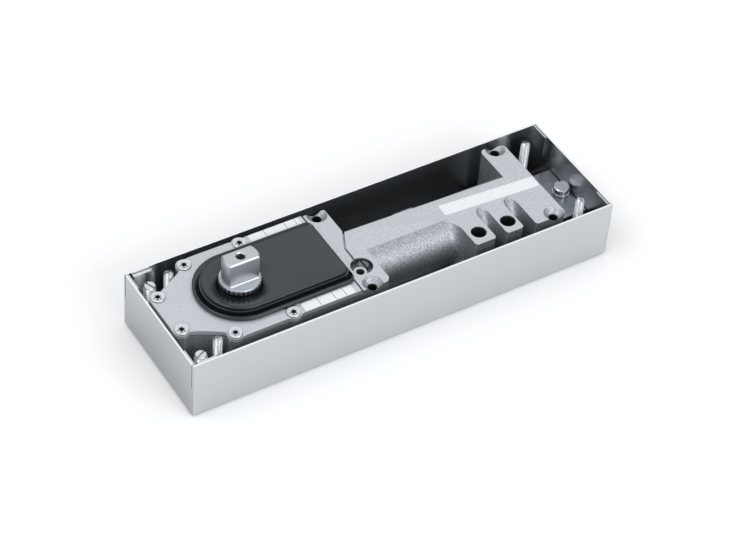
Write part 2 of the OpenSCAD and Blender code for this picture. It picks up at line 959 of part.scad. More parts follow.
module cap_gasket() {
    color("dimgray")
        in_closer()
            difference() {
                translate([0, 0, seat_height])
                    linear_extrude(height = gasket)
                        difference() {
                            head_outline(cover_reach);
                            chamber_outline();
                        }
                cover_screw_holes(seat_height - cut, gasket + 2 * cut);
            }
}

module cap_plate() {
    color("gainsboro")
        in_closer()
            difference() {
                union() {
                    translate([0, 0, cover_bottom])
                        linear_extrude(height = cover_thickness)
                            head_outline(cover_reach);
                    translate([0, 0, boss_bottom])
                        cylinder(r = boss_radius, h = cover_top - boss_bottom);
                }
                translate([0, 0, boss_bottom - cut])
                    cylinder(r = spindle_radius + 0.8, h = cover_top);
                translate([0, 0, upper_cup_bottom])
                    cylinder(r = upper_cup_outer + fixed, h = cover_top);
                translate([0, 0, seal_bottom - 0.1])
                    cylinder(r = seal_outer + fixed, h = cover_top);
                for (at = cover_screws_at, side = [-1, 1])
                    translate([at[0], side * at[1], 0]) {
                        countersunk_hole(cover_screw + 0.2, cover_screw_head + 0.1, screw_seat_top);
                        translate([0, 0, screw_seat_top])
                            cylinder(r = screw_seat_radius, h = cut);
                    }
            }
}

// Six-lobed drive recess
module torx_cut(radius, depth) {
    translate([0, 0, -depth])
        linear_extrude(height = depth + cut)
            union() {
                circle(r = radius * 0.72);
                for (turn = [0:60:300])
                    rotate(turn)
                        translate([radius * 0.72, 0])
                            circle(r = radius * 0.28);
            }
}

module cap_screws() {
    sink = cover_screw_head - cover_screw;
    edge = 0.3;
    color("silver")
        in_closer()
            for (at = cover_screws_at, side = [-1, 1])
                translate([at[0], side * at[1], screw_seat_top])
                    difference() {
                        union() {
                            translate([0, 0, -cover_screw_length])
                                cylinder(r = cover_screw, h = cover_screw_length);
                            translate([0, 0, -sink])
                                cylinder(r1 = cover_screw, r2 = cover_screw_head, h = sink);
                            cylinder(r = cover_screw_head, h = cover_screw_rise - edge);
                            translate([0, 0, cover_screw_rise - edge])
                                cylinder(r1 = cover_screw_head, r2 = cover_screw_head - edge, h = edge);
                        }
                        translate([0, 0, cover_screw_rise])
                            torx_cut(1.9, 2.2);
                    }
}

// Outline of the shroud: round at the spindle, straight to the far end, with round end corners
module shroud_outline(radius, reach, corner) {
    circle(r = radius);
    translate([0, -radius])
        square([reach - corner, 2 * radius]);
    translate([0, -radius + corner])
        square([reach, 2 * (radius - corner)]);
    for (side = [-1, 1])
        translate([reach - corner, side * (radius - corner)])
            circle(r = corner);
}

module shroud() {
    step = shroud_base + 0.9;
    dish = 0.6;
    color("dimgray")
        in_closer()
            translate([0, 0, cover_top])
                difference() {
                    union() {
                        linear_extrude(height = shroud_base)
                            shroud_outline(shroud_base_radius, shroud_reach, 1.5);
                        linear_extrude(height = step)
                            shroud_outline(shroud_top_radius + 1.1, shroud_reach - 0.7, 3.5);
                        linear_extrude(height = shroud_height)
                            shroud_outline(shroud_top_radius, shroud_reach - 1.6, 3.5);
                    }
                    translate([0, 0, -cut])
                        linear_extrude(height = shroud_height - shroud_wall - dish + cut)
                            shroud_outline(shroud_top_radius - shroud_wall, shroud_reach - 1.6 - shroud_wall, 2);
                    translate([0, 0, shroud_height - dish])
                        cylinder(r1 = shroud_top_radius - 6, r2 = shroud_top_radius - 4.5, h = dish + 0.01);
                    translate([0, 0, -cut])
                        cylinder(r = spindle_radius + 0.6, h = shroud_height + 2 * cut);
                }
}

module label_strip(length, width) {
    translate([-length / 2, -width / 2, 0])
        cube([length, width, label_thickness]);
}

module label_strips() {
    color("white")
        in_closer() {
            for (at = cover_labels)
                translate([at[0], at[1], cover_top])
                    label_strip(at[2], label_width);
            translate([body_label[0], body_label[1], deck_height])
                rotate([0, 0, body_label_turn])
                    label_strip(body_label[2], body_label_width);
        }
}

// Lip seal with its flexible lip towards the oil
module shaft_seal() {
    inner = spindle_radius + run;
    color("black")
        in_closer()
            translate([0, 0, seal_bottom])
                rotate_extrude()
                    polygon([
                        [seal_outer - 1, 0], [seal_outer, 0], [seal_outer, seal_height],
                        [inner, seal_height], [inner, seal_height - 0.8], [inner + 0.9, seal_height - 1.4],
                        [inner, 0.8], [inner + 1, 0.2], [seal_outer - 1, seal_height - 1.4]
                    ]);
}

// Drawn cup with inturned ends that keep the needles in
module bearing_cup(inner, outer, height, lip) {
    wall = cup_lip;
    rotate_extrude()
        polygon([
            [inner - lip, 0], [outer, 0], [outer, height], [inner - lip, height],
            [inner - lip, height - wall], [inner, height - wall], [inner, wall], [inner - lip, wall]
        ]);
}

module needle_cage(track, needle_length, count) {
    cage_half = 0.65;
    end_ring = cage_end;
    difference() {
        translate([0, 0, -end_ring])
            rotate_extrude()
                translate([track - cage_half, 0])
                    square([2 * cage_half, needle_length + 2 * end_ring]);
        for (i = [0:count - 1])
            rotate([0, 0, i * 360 / count])
                translate([track, 0, 0])
                    cylinder(r = needle_radius + 0.04, h = needle_length, $fn = 24);
    }
    for (i = [0:count - 1])
        rotate([0, 0, i * 360 / count])
            translate([track, 0, 0.05])
                cylinder(r = needle_radius, h = needle_length - 0.1, $fn = 24);
}

module upper_bearing_cup() {
    color("silver")
        in_closer()
            translate([0, 0, upper_cup_bottom])
                bearing_cup(upper_cup_inner, upper_cup_outer, upper_cup_height, 0.9);
}

module upper_needle_cage() {
    color("silver")
        in_closer()
            translate([0, 0, upper_cup_bottom + (upper_cup_height - upper_needle_length) / 2])
                needle_cage(upper_track, upper_needle_length, upper_needles);
}

module lower_bearing_cup() {
    color("silver")
        in_closer()
            translate([0, 0, lower_cup_bottom])
                bearing_cup(lower_cup_inner, lower_cup_outer, lower_cup_height, 0.9);
}

module lower_needle_cage() {
    color("silver")
        in_closer()
            translate([0, 0, lower_cup_bottom + (lower_cup_height - lower_needle_length) / 2])
                needle_cage(lower_track, lower_needle_length, lower_needles);
}

module thrust_washer() {
    color("peru")
        in_closer()
            translate([0, 0, lower_cup_bottom])
                cylinder(r = journal_radius - 0.6, h = thrust_washer_height);
}

// Star of squares that drives the shaft from the plug-in head
module star(size) {
    for (turn = [0:15:75])
        rotate(turn)
            square([size, size], center = true);
}

module spindle_shaft() {
    color("darkgray")
        in_closer()
            difference() {
                union() {
                    translate([0, 0, shaft_bottom])
                        cylinder(r = journal_radius, h = journal_top - shaft_bottom + 0.5);
                    translate([0, 0, journal_top])
                        cylinder(r = cam_seat, h = cam_top - journal_top + cut);
                    translate([0, 0, cam_top])
                        cylinder(r = spindle_radius, h = flange_bottom - cam_top);
                }
                translate([0, 0, circlip_bottom])
                    difference() {
                        cylinder(r = cam_seat + cut, h = circlip_height);
                        translate([0, 0, -cut])
                            cylinder(r = cam_seat - circlip_groove, h = circlip_height + 2 * cut);
                    }
                translate([-cam_seat - cut, -key_width / 2 - fixed, cam_bottom])
                    cube([key_depth + cut, key_width + 2 * fixed, cam_thickness - 0.5]);
                translate([0, 0, flange_bottom - socket_depth])
                    linear_extrude(height = socket_depth + cut)
                        star(socket_size + 2 * fixed);
            }
}

module flange_tooth(angle) {
    width = 1.5;
    rotate([0, 0, angle])
        translate([flange_radius - 2, -width / 2, 0])
            cube([2, width, flange_height - 1.1]);
}

module spindle_head() {
    chamfer = 1;
    top = flange_height + head_height;
    color("darkgray")
        in_closer()
            translate([0, 0, flange_bottom])
                difference() {
                    union() {
                        translate([0, 0, -socket_depth + 0.5])
                            linear_extrude(height = socket_depth)
                                star(socket_size);
                        cylinder(r = flange_radius - 0.6, h = flange_height - 0.4);
                        translate([0, 0, flange_height - 0.4])
                            cylinder(r1 = flange_radius - 0.6, r2 = flange_radius - 1, h = 0.4);
                        intersection() {
                            for (i = [0:flange_teeth - 1])
                                flange_tooth(i * 360 / flange_teeth);
                            cylinder(r = flange_radius, h = flange_height);
                        }
                        intersection() {
                            union() {
                                cylinder(r = spindle_radius, h = top - chamfer);
                                translate([0, 0, top - chamfer])
                                    cylinder(r1 = spindle_radius, r2 = spindle_radius - chamfer, h = chamfer);
                            }
                            translate([-2 * spindle_radius, -head_flats / 2, 0])
                                cube([4 * spindle_radius, head_flats, top]);
                        }
                    }
                    translate([0, 0, top - head_hole_depth])
                        cylinder(r = head_hole, h = head_hole_depth + cut);
                    translate([0, 0, top - 0.7])
                        cylinder(r1 = head_hole, r2 = head_hole + 0.7, h = 0.71);
                }
}

// Heart cam: the roller's centre moves out by the same amount for each degree of turn
lift_per_degree = piston_stroke / opening_angle;
lift_per_radian = lift_per_degree * 180 / PI;
cam_offset = roller_radius + cam_gap;
cam_sweep = opening_angle + 4;
cam_step = 2;

function pitch_radius(a) = roller_rest + lift_per_degree * a;
function pitch_lean(a) = atan(lift_per_radian / pitch_radius(a));
function cam_point(a) = [
    pitch_radius(a) * cos(a) - cam_offset * cos(a - pitch_lean(a)),
    pitch_radius(a) * sin(a) - cam_offset * sin(a - pitch_lean(a))
];
function notch_point(a) = [roller_rest - cam_offset * cos(a), -cam_offset * sin(a)];
cam_back = norm(cam_point(cam_sweep));
cam_back_angle = atan2(cam_point(cam_sweep)[1], cam_point(cam_sweep)[0]) + 3;
cam_side = [for (a = [0:cam_step:cam_sweep]) cam_point(a)];
cam_notch = [for (a = [-15:3:15]) notch_point(a * pitch_lean(0) / 18)];
cam_rear = [
    for (a = [cam_back_angle:4:360 - cam_back_angle]) [cam_back * cos(a), cam_back * sin(a)]
];
cam_profile = concat(
    [for (p = cam_notch) [p[0], -p[1]]],
    [for (i = [0:len(cam_side) - 1]) cam_side[i]],
    cam_rear,
    [for (i = [len(cam_side) - 1:-1:0]) [cam_side[i][0], -cam_side[i][1]]]
);

module cam_disc() {
    color("slategray")
        in_closer()
            translate([0, 0, cam_bottom])
                difference() {
                    linear_extrude(height = cam_thickness - 0.05)
                        polygon(cam_profile);
                    translate([0, 0, -cut])
                        cylinder(r = cam_seat + fixed, h = cam_thickness + 2 * cut);
                    translate([-cam_seat - key_depth, -key_width / 2 - fixed, -cut])
                        cube([2 * key_depth, key_width + 2 * fixed, cam_thickness + 2 * cut]);
                }
}

module cam_key() {
    color("silver")
        in_closer()
            translate([-cam_seat - key_depth + 0.1, -key_width / 2, cam_bottom + 0.1])
                cube([2 * key_depth - 0.2, key_width, cam_thickness - 0.8]);
}

module cam_circlip() {
    color("dimgray")
        in_closer()
            translate([0, 0, circlip_bottom + 0.05])
                difference() {
                    cylinder(r = circlip_outer, h = circlip_height - 0.1);
                    translate([0, 0, -cut])
                        cylinder(r = cam_seat - circlip_groove + fixed, h = circlip_height + 2 * cut);
                    translate([-circlip_outer - cut, -2.5, -cut])
                        cube([circlip_outer, 5, circlip_height + 2 * cut]);
                }
}

// Piston with the fork that carries the roller
module piston_cheek(side) {
    half = cheek_width / 2;
    tip = 3;
    low = side > 0 ? cheek_inside : -cheek_inside - cheek_thickness;
    translate([0, 0, axis_height + low])
        linear_extrude(height = cheek_thickness)
            polygon([
                [piston_face + cut, -half], [cheek_tip + tip, -half], [cheek_tip, -half + tip],
                [cheek_tip, half - tip], [cheek_tip + tip, half], [piston_face + cut, half]
            ]);
}

module piston() {
    color("silver")
        in_closer()
            difference() {
                union() {
                    along_cylinder(piston_face)
                        cylinder(r = piston_radius, h = piston_length);
                    along_cylinder(piston_end - cut)
                        cylinder(r = spigot_radius, h = 7 + cut);
                    for (side = [-1, 1])
                        piston_cheek(side);
                }
                along_cylinder(piston_face + seal_groove_start)
                    difference() {
                        cylinder(r = piston_radius + cut, h = seal_groove_width);
                        translate([0, 0, -cut])
                            cylinder(r = piston_radius - seal_groove_depth, h = seal_groove_width + 2 * cut);
                    }
                along_cylinder(piston_face - cut)
                    cylinder(r = 3 + fixed, h = piston_length + 9);
                translate([roller_rest, 0, 0])
                    cylinder(r = pin_radius + fixed, h = 2 * axis_height);
            }
}

module piston_seal() {
    color("black")
        in_closer()
            along_cylinder(piston_face + seal_groove_start + seal_slack)
                difference() {
                    cylinder(r = piston_radius, h = seal_groove_width - 2 * seal_slack);
                    translate([0, 0, -cut])
                        cylinder(r = piston_radius - seal_groove_depth + fixed, h = seal_groove_width + 2 * cut);
                }
}

module check_valve() {
    color("goldenrod")
        in_closer()
            along_cylinder(piston_face - 2)
                difference() {
                    union() {
                        cylinder(r = cam_thickness / 2, h = 2);
                        cylinder(r = 3, h = 14);
                    }
                    translate([0, 0, -cut])
                        cylinder(r = 1.2, h = 14 + 2 * cut);
                }
}

module roller_pin() {
    half = cheek_inside + cheek_thickness - 0.2;
    color("silver")
        in_closer()
            translate([roller_rest, 0, axis_height - half])
                cylinder(r = pin_radius, h = 2 * half);
}

module cam_roller() {
    edge = 0.4;
    color("silver")
        in_closer()
            translate([roller_rest, 0, axis_height - roller_thickness / 2])
                difference() {
                    union() {
                        translate([0, 0, edge])
                            cylinder(r = roller_radius, h = roller_thickness - 2 * edge);
                        cylinder(r1 = roller_radius - edge, r2 = roller_radius, h = edge);
                        translate([0, 0, roller_thickness - edge])
                            cylinder(r1 = roller_radius, r2 = roller_radius - edge, h = edge);
                    }
                    translate([0, 0, -cut])
                        cylinder(r = pin_radius + run, h = roller_thickness + 2 * cut);
                }
}

// Closing spring: one wire whose end curls lie close and whose middle curls are spaced evenly
spring_rings = 8;
spring_sides = 6;
end_curl_pitch = 2 * spring_wire + 0.6;
spring_span = spring_length - 2 * spring_wire - 0.1;
middle_pitch = (spring_span - 2 * end_curl_pitch) / (spring_curls - 2);

function spring_at(turn) =
    turn < 1 ? turn * end_curl_pitch
    : turn > spring_curls - 1 ? spring_span - (spring_curls - turn) * end_curl_pitch
    : end_curl_pitch + (turn - 1) * middle_pitch;
function spring_centre(turn) = [
    spring_at(turn), spring_radius * cos(360 * turn), spring_radius * sin(360 * turn)
];
function spring_ring(turn) = [
    for (side = [0:spring_sides - 1])
        let (lean = 360 * side / spring_sides, out = spring_radius + spring_wire * cos(lean))
            [spring_at(turn) + spring_wire * sin(lean), out * cos(360 * turn), out * sin(360 * turn)]
];
spring_ring_count = spring_rings * spring_curls + 1;
spring_points = [
    for (i = [0:spring_ring_count - 1]) for (p = spring_ring(i / spring_rings)) p
];
spring_faces = concat(
    [[for (s = [0:spring_sides - 1]) s]],
    [
        for (i = [0:spring_ring_count - 2]) for (s = [0:spring_sides - 1])
            let (a = i * spring_sides + s, b = i * spring_sides + (s + 1) % spring_sides)
                for (half = [0, 1])
                    half == 0 ? [a, a + spring_sides, b] : [b, a + spring_sides, b + spring_sides]
    ],
    [[for (s = [spring_sides - 1:-1:0]) (spring_ring_count - 1) * spring_sides + s]]
);
// Least gap of the wire to itself: from each centre to those between half a curl and two curls on
spring_gap = min([
    for (i = [0:spring_ring_count - 1])
        for (j = [i + spring_rings / 2:min(i + 2 * spring_rings, spring_ring_count - 1)])
            norm(spring_centre(i / spring_rings) - spring_centre(j / spring_rings)) - 2 * spring_wire
]);
echo(spring_gap = spring_gap);

module closing_spring() {
    color("dimgray")
        in_closer()
            translate([piston_end + spring_wire + 0.05, 0, axis_height])
                polyhedron(points = spring_points, faces = spring_faces);
}

module spring_seat() {
    color("silver")
        in_closer()
            difference() {
                union() {
                    along_cylinder(spring_end)
                        cylinder(r = bore_radius - run, h = seat_thickness);
                    along_cylinder(spring_end - 5)
                        cylinder(r = spigot_radius, h = 5 + cut);
                }
                along_cylinder(spring_end - 5 - cut)
                    cylinder(r = force_screw_radius + run, h = seat_thickness + 5 + 2 * cut);
            }
}

// Screw that draws the spring seat along to set the closing force
module force_screw() {
    stem_end = casting_reach - 3.5;
    color("darkgray")
        in_closer()
            difference() {
                union() {
                    along_cylinder(force_screw_start)
                        cylinder(r = force_screw_radius, h = stem_end - force_screw_start);
                    along_cylinder(collar_start)
                        cylinder(r = force_screw_radius + 3, h = collar_length - 0.05);
                }
                translate([stem_end, 0, axis_height])
                    rotate([0, 90, 0])
                        hex_cut(4, 4);
            }
}

module end_plug() {
    color("silver")
        in_closer()
            difference() {
                along_cylinder(plug_start)
                    cylinder(r = plug_radius, h = plug_length);
                along_cylinder(plug_start - cut)
                    cylinder(r = force_screw_radius + run, h = plug_length + 2 * cut);
                along_cylinder(plug_start + plug_groove_start)
                    difference() {
                        cylinder(r = plug_radius + cut, h = plug_groove_width);
                        translate([0, 0, -cut])
                            cylinder(r = plug_radius - plug_groove_depth, h = plug_groove_width + 2 * cut);
                    }
                for (side = [-1, 1])
                    translate([plug_start + plug_length - 5, side * 10, axis_height])
                        rotate([0, 90, 0])
                            cylinder(r = 2, h = 5 + cut);
            }
}

module end_plug_ring() {
    color("black")
        in_closer()
            along_cylinder(plug_start + plug_groove_start + plug_groove_width / 2)
                rotate_extrude()
                    translate([plug_radius - plug_ring_wire, 0])
                        circle(r = plug_ring_wire, $fn = 24);
}

// Valve screw with its metering tip; its top lies deep in the bore
module speed_valve(x) {
    body_top = deck_height - valve_depth;
    body_bottom = body_top - valve_body;
    color("darkgray")
        in_closer()
            translate([x, -valve_offset, 0])
                difference() {
                    union() {
                        translate([0, 0, body_bottom + 0.05])
                            cylinder(r = valve_bore - run, h = valve_body - 0.05);
                        translate([0, 0, body_bottom - 4])
                            cylinder(r = 1.6, h = 5);
                    }
                    translate([0, 0, body_top])
                        slot_cut(1.4, 2, 2 * valve_bore);
                }
}

module closing_speed_valve() {
    speed_valve(valve_first);
}

module latching_speed_valve() {
    speed_valve(valve_first + valve_spacing);
}

module hold_open_valve() {
    head = 2.2;
    color("whitesmoke")
        in_closer()
            translate([hold_x, hold_y, deck_height - pocket_depth])
                difference() {
                    union() {
                        translate([0, 0, -6.5])
                            cylinder(r = hold_stem, h = 7);
                        translate([0, 0, 0.05])
                            cylinder(r = hold_head, h = head);
                    }
                    translate([0, 0, head + 0.05])
                        rotate([0, 0, 90])
                            slot_cut(1.2, 1.2, 2 * hold_head);
                }
}

module filler_plug() {
    color("dimgray")
        in_closer()
            translate([filler_x, filler_y, deck_height - 9])
                difference() {
                    cylinder(r = filler_radius - fixed, h = 5);
                    translate([0, 0, 5])
                        hex_cut(2.6, 2.5);
                }
}

cement_box();
stud_nuts();
cover_stud_front_left();
cover_stud_back_left();
cover_stud_front_right();
cover_stud_back_right();
level_screw_front();
level_screw_back();
left_carrier();
end_bracket();
carrier_screws();
clamp_pillar();
clamp_washer();
clamp_screw();
closer_housing();
cap_gasket();
cap_plate();
cap_screws();
shroud();
label_strips();
shaft_seal();
upper_bearing_cup();
upper_needle_cage();
lower_bearing_cup();
lower_needle_cage();
thrust_washer();
spindle_shaft();
spindle_head();
cam_disc();
cam_key();
cam_circlip();
piston();
piston_seal();
check_valve();
roller_pin();
cam_roller();
closing_spring();
spring_seat();
force_screw();
end_plug();
end_plug_ring();
closing_speed_valve();
latching_speed_valve();
hold_open_valve();
filler_plug();
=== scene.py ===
"""Looks of a floor-mounted door closer in its cement box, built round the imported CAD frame."""

import math

import bmesh
import bpy
from mathutils import Matrix, Vector


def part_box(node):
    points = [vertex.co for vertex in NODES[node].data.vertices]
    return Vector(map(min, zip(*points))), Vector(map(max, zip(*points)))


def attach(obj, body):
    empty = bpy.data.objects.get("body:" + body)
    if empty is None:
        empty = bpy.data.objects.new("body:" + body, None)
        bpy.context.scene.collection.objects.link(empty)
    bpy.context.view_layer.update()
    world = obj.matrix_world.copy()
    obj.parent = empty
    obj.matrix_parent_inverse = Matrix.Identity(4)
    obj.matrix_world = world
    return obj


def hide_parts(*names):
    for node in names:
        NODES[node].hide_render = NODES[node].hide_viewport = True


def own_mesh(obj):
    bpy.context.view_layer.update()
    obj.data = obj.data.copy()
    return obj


bl_info = {
    "name": "Floor Closer Studio",
    "version": (1, 0, 0),
    "blender": (4, 5, 0),
    "location": "3D View > Sidebar > Floor Closer",
    "description": "Dresses a floor-mounted door closer in its cement box and lights it",
    "category": "Object",
}

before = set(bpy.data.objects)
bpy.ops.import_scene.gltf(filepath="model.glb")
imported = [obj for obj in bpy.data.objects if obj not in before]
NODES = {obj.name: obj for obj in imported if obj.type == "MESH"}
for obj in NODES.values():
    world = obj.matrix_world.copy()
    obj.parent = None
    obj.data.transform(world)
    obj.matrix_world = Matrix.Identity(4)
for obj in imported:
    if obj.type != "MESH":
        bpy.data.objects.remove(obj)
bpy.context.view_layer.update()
BOX_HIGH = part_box("cement_box")[1]
DECK_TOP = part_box("closer_housing")[1].z
COVER_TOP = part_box("cap_plate")[1].z
SPINDLE_LOW, SPINDLE_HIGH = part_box("spindle_head")
SPINDLE_X = (SPINDLE_LOW.x + SPINDLE_HIGH.x) / 2
ROOT = "closer_and_box"

# The casting's four fixing holes, and the pocket that the hold-open screw and the filler plug share
FIXING_X, FIXING_Y, FIXING_RADIUS = (-0.0205, 0.1070), 0.0322, 0.0026
POCKET_CENTRE, POCKET_RADIUS = (-0.0190, -0.0172), 0.0068


# ---------------------------------------------------------------- small helpers


def linear(code):
    """Turns an sRGB hex colour into the linear colour that shaders take."""
    parts = [int(code.lstrip("#")[i : i + 2], 16) / 255 for i in (0, 2, 4)]
    return tuple(p / 12.92 if p <= 0.04045 else ((p + 0.055) / 1.055) ** 2.4 for p in parts) + (1.0,)


def add_node(tree, kind, settings=None, links=None):
    """Adds one node: settings are attributes or input values, links are (input, source socket)."""
    node = tree.nodes.new(kind)
    for key, value in (settings or {}).items():
        if isinstance(key, str) and hasattr(node, key):
            setattr(node, key, value)
        else:
            node.inputs[key].default_value = value
    for key, source in (links or {}).items():
        tree.links.new(source, node.inputs[key])
    return node


def ramp_of(tree, source, stops):
    """Adds a colour ramp with stops of (position, value or colour)."""
    node = tree.nodes.new("ShaderNodeValToRGB")
    tree.links.new(source, node.inputs[0])
    band = node.color_ramp
    while len(band.elements) > len(stops):
        band.elements.remove(band.elements[-1])
    while len(band.elements) < len(stops):
        band.elements.new(1.0)
    for element, (place, value) in zip(band.elements, stops):
        element.position = place
        element.color = value if isinstance(value, tuple) else (value, value, value, 1.0)
    return node


def between(tree, source, first, last, low, high):
    """Adds a range: low where the source is under first, high where it is over last."""
    spans = {"From Min": first, "From Max": last, "To Min": low, "To Max": high}
    return add_node(tree, "ShaderNodeMapRange", spans, {"Value": source})


def new_material(name):
    """Starts a material with its shader, and coordinates counted in metres from the object's origin."""
    material = bpy.data.materials.new(name)
    material.use_nodes = True
    tree = material.node_tree
    shader = tree.nodes["Principled BSDF"]
    place = tree.nodes.new("ShaderNodeTexCoord").outputs["Object"]
    return material, tree, shader, place


def dress(node_name, material):
    """Puts one material on a CAD node."""
    slots = NODES[node_name].material_slots
    if not slots:
        NODES[node_name].data.materials.append(material)
    for slot in slots:
        slot.material = material


def soften(node_name, width, angle=30, segments=2):
    """Rounds a CAD node's edges, as handling, casting or rolling leaves them."""
    piece = NODES[node_name]
    weld = piece.modifiers.new("join_faces", "WELD")
    weld.merge_threshold = 0.000002
    round_edges(piece, width, angle, segments)


def round_edges(piece, width, angle=30, segments=2):
    """Adds the modifiers that round an object's edges and keep its wide faces level."""
    bevel = piece.modifiers.new("round_edges", "BEVEL")
    bevel.width = width
    bevel.segments = segments
    bevel.limit_method = "ANGLE"
    bevel.angle_limit = math.radians(angle)
    bevel.use_clamp_overlap = True
    # Wide faces keep their own direction, so that only the rounded edges catch the light
    shade = piece.modifiers.new("level_faces", "WEIGHTED_NORMAL")
    shade.mode = "FACE_AREA_WITH_ANGLE"
    shade.weight = 70


def finished(name, mesh, material, body):
    """Makes a finished piece at the origin that rides on a CAD body."""
    piece = bpy.data.objects.new(name, mesh)
    bpy.context.scene.collection.objects.link(piece)
    mesh.materials.clear()
    mesh.materials.append(material)
    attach(piece, body)
    return piece


def evaluated_mesh(holder, name):
    """Returns an object's mesh with its modifiers worked in."""
    seen = holder.evaluated_get(bpy.context.evaluated_depsgraph_get())
    result = bpy.data.meshes.new_from_object(seen)
    result.name = name
    return result


def mesh_of(shape, name):
    """Turns an edited shape into a mesh and frees it."""
    mesh = bpy.data.meshes.new(name)
    shape.to_mesh(mesh)
    shape.free()
    return mesh


def add_rings(shape, rows):
    """Adds rows of points to a shape."""
    return [[shape.verts.new(point) for point in row] for row in rows]


def skin_rings(shape, rings):
    """Joins rows of as many points each into the wall of a tube."""
    for under, over in zip(rings, rings[1:]):
        for i in range(len(under)):
            j = (i + 1) % len(under)
            shape.faces.new((under[i], under[j], over[j], over[i]))


def close_rings(shape, rings):
    """Joins rows of points into a solid with a flat face at either end."""
    skin_rings(shape, rings)
    shape.faces.new(list(reversed(rings[0])))
    shape.faces.new(rings[-1])


# ---------------------------------------------------------------- materials


def paint(tree, shader, grain, tones, gloss):
    """Tones a shader by a grain: tones are its two hex colours, gloss its two roughnesses."""
    tone = ramp_of(tree, grain.outputs[0], [(0.35, linear(tones[0])), (0.65, linear(tones[1]))])
    dull = ramp_of(tree, grain.outputs[0], [(0.3, gloss[0]), (0.7, gloss[1])])
    tree.links.new(tone.outputs[0], shader.inputs["Base Color"])
    tree.links.new(dull.outputs[0], shader.inputs["Roughness"])


def raise_surface(tree, shader, grain, strength, depth):
    """Lets a grain stand out of the surface by so many metres."""
    settings = {"Strength": strength, "Distance": depth}
    bump = add_node(tree, "ShaderNodeBump", settings, {"Height": grain.outputs[0]})
    tree.links.new(bump.outputs[0], shader.inputs["Normal"])


def galvanised_sheet():
    """Zinc-coated steel sheet, rolled along the box and folded: an even, pale satin."""
    look = bpy.context.scene.closer_finish
    material, tree, shader, place = new_material("galvanised_sheet_folded")
    shader.inputs["Metallic"].default_value = 1.0
    shader.inputs["Roughness"].default_value = 0.27
    # Rolling marks are fine lines along the sheet; they are drawn 0.4 mm apart so that they show
    rolled = add_node(tree, "ShaderNodeMapping", {"Scale": (0.02, 1.0, 1.0)}, {"Vector": place})
    streak = add_node(
        tree, "ShaderNodeTexNoise", {"Scale": 2500.0, "Detail": 2.0}, {"Vector": rolled.outputs[0]}
    )
    tones = [(0.3, linear(look.sheet_dark)), (0.7, linear(look.sheet_light))]
    tone = ramp_of(tree, streak.outputs[0], tones)
    spot = add_node(tree, "ShaderNodeSeparateXYZ", links={0: place}).outputs
    reach, breadth = (
        add_node(tree, "ShaderNodeMath", {"operation": "ABSOLUTE"}, {0: spot[axis]}).outputs[0]
        for axis in ("X", "Y")
    )
    # The end walls show the rolling grain crosswise and are painted darker, as painted shade, most near
    # the floor
    end_wall_shade = between(tree, reach, BOX_HIGH.x - 0.0008, BOX_HIGH.x - 0.0002, 1.0, 0.86)
    low_wall_shade = between(tree, spot["Z"], 0.004, BOX_HIGH.z - 0.006, 0.67, 0.86)
    tree.links.new(low_wall_shade.outputs[0], end_wall_shade.inputs["To Max"])
    # The inside is painted darker towards the bottom, as painted shade; the outside and the underside
    # keep their tone
    inside_shade = between(tree, spot["Z"], BOX_HIGH.z - 0.036, BOX_HIGH.z - 0.022, 0.42, 1.0).outputs[0]
    for skin in (
        between(tree, reach, BOX_HIGH.x - 0.0010, BOX_HIGH.x - 0.0004, 0.0, 1.0),
        between(tree, breadth, BOX_HIGH.y - 0.0010, BOX_HIGH.y - 0.0004, 0.0, 1.0),
        between(tree, spot["Z"], 0.0004, 0.0009, 1.0, 0.0),
    ):
        either = {0: inside_shade, 1: skin.outputs[0]}
        inside_shade = add_node(tree, "ShaderNodeMath", {"operation": "MAXIMUM"}, either).outputs[0]
    both = {0: end_wall_shade.outputs[0], 1: inside_shade}
    light = add_node(tree, "ShaderNodeMath", {"operation": "MULTIPLY"}, both)
    shade = add_node(
        tree,
        "ShaderNodeVectorMath",
        {"operation": "SCALE"},
        {0: tone.outputs[0], "Scale": light.outputs[0]},
    )
    # The sheared upper edge is painted near-white, as a painted highlight along the rim
    rim_highlight = between(tree, spot["Z"], BOX_HIGH.z - 0.00025, BOX_HIGH.z - 0.0001, 0.0, 1.0)
    skin = add_node(
        tree,
        "ShaderNodeMix",
        {"data_type": "RGBA", 7: linear(look.sheet_rim_highlight)},
        {"Factor": rim_highlight.outputs[0], 6: shade.outputs[0]},
    )
    tree.links.new(skin.outputs[2], shader.inputs["Base Color"])
    return material


def casting_wells():
    """Lists the holes whose insides are painted dark as painted shade, as (x, y, radius, share of light
    that is left).
    """
    wells = []
    for bore in ("closing_speed_valve", "latching_speed_valve"):
        low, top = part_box(bore)
        wells.append(((low.x + top.x) / 2, (low.y + top.y) / 2, (top.x - low.x) / 2, 0.12))
    wells += [(x, y, FIXING_RADIUS, 0.10) for x in FIXING_X for y in (-FIXING_Y, FIXING_Y)]
    wells.append((*POCKET_CENTRE, POCKET_RADIUS, 0.38))
    return wells


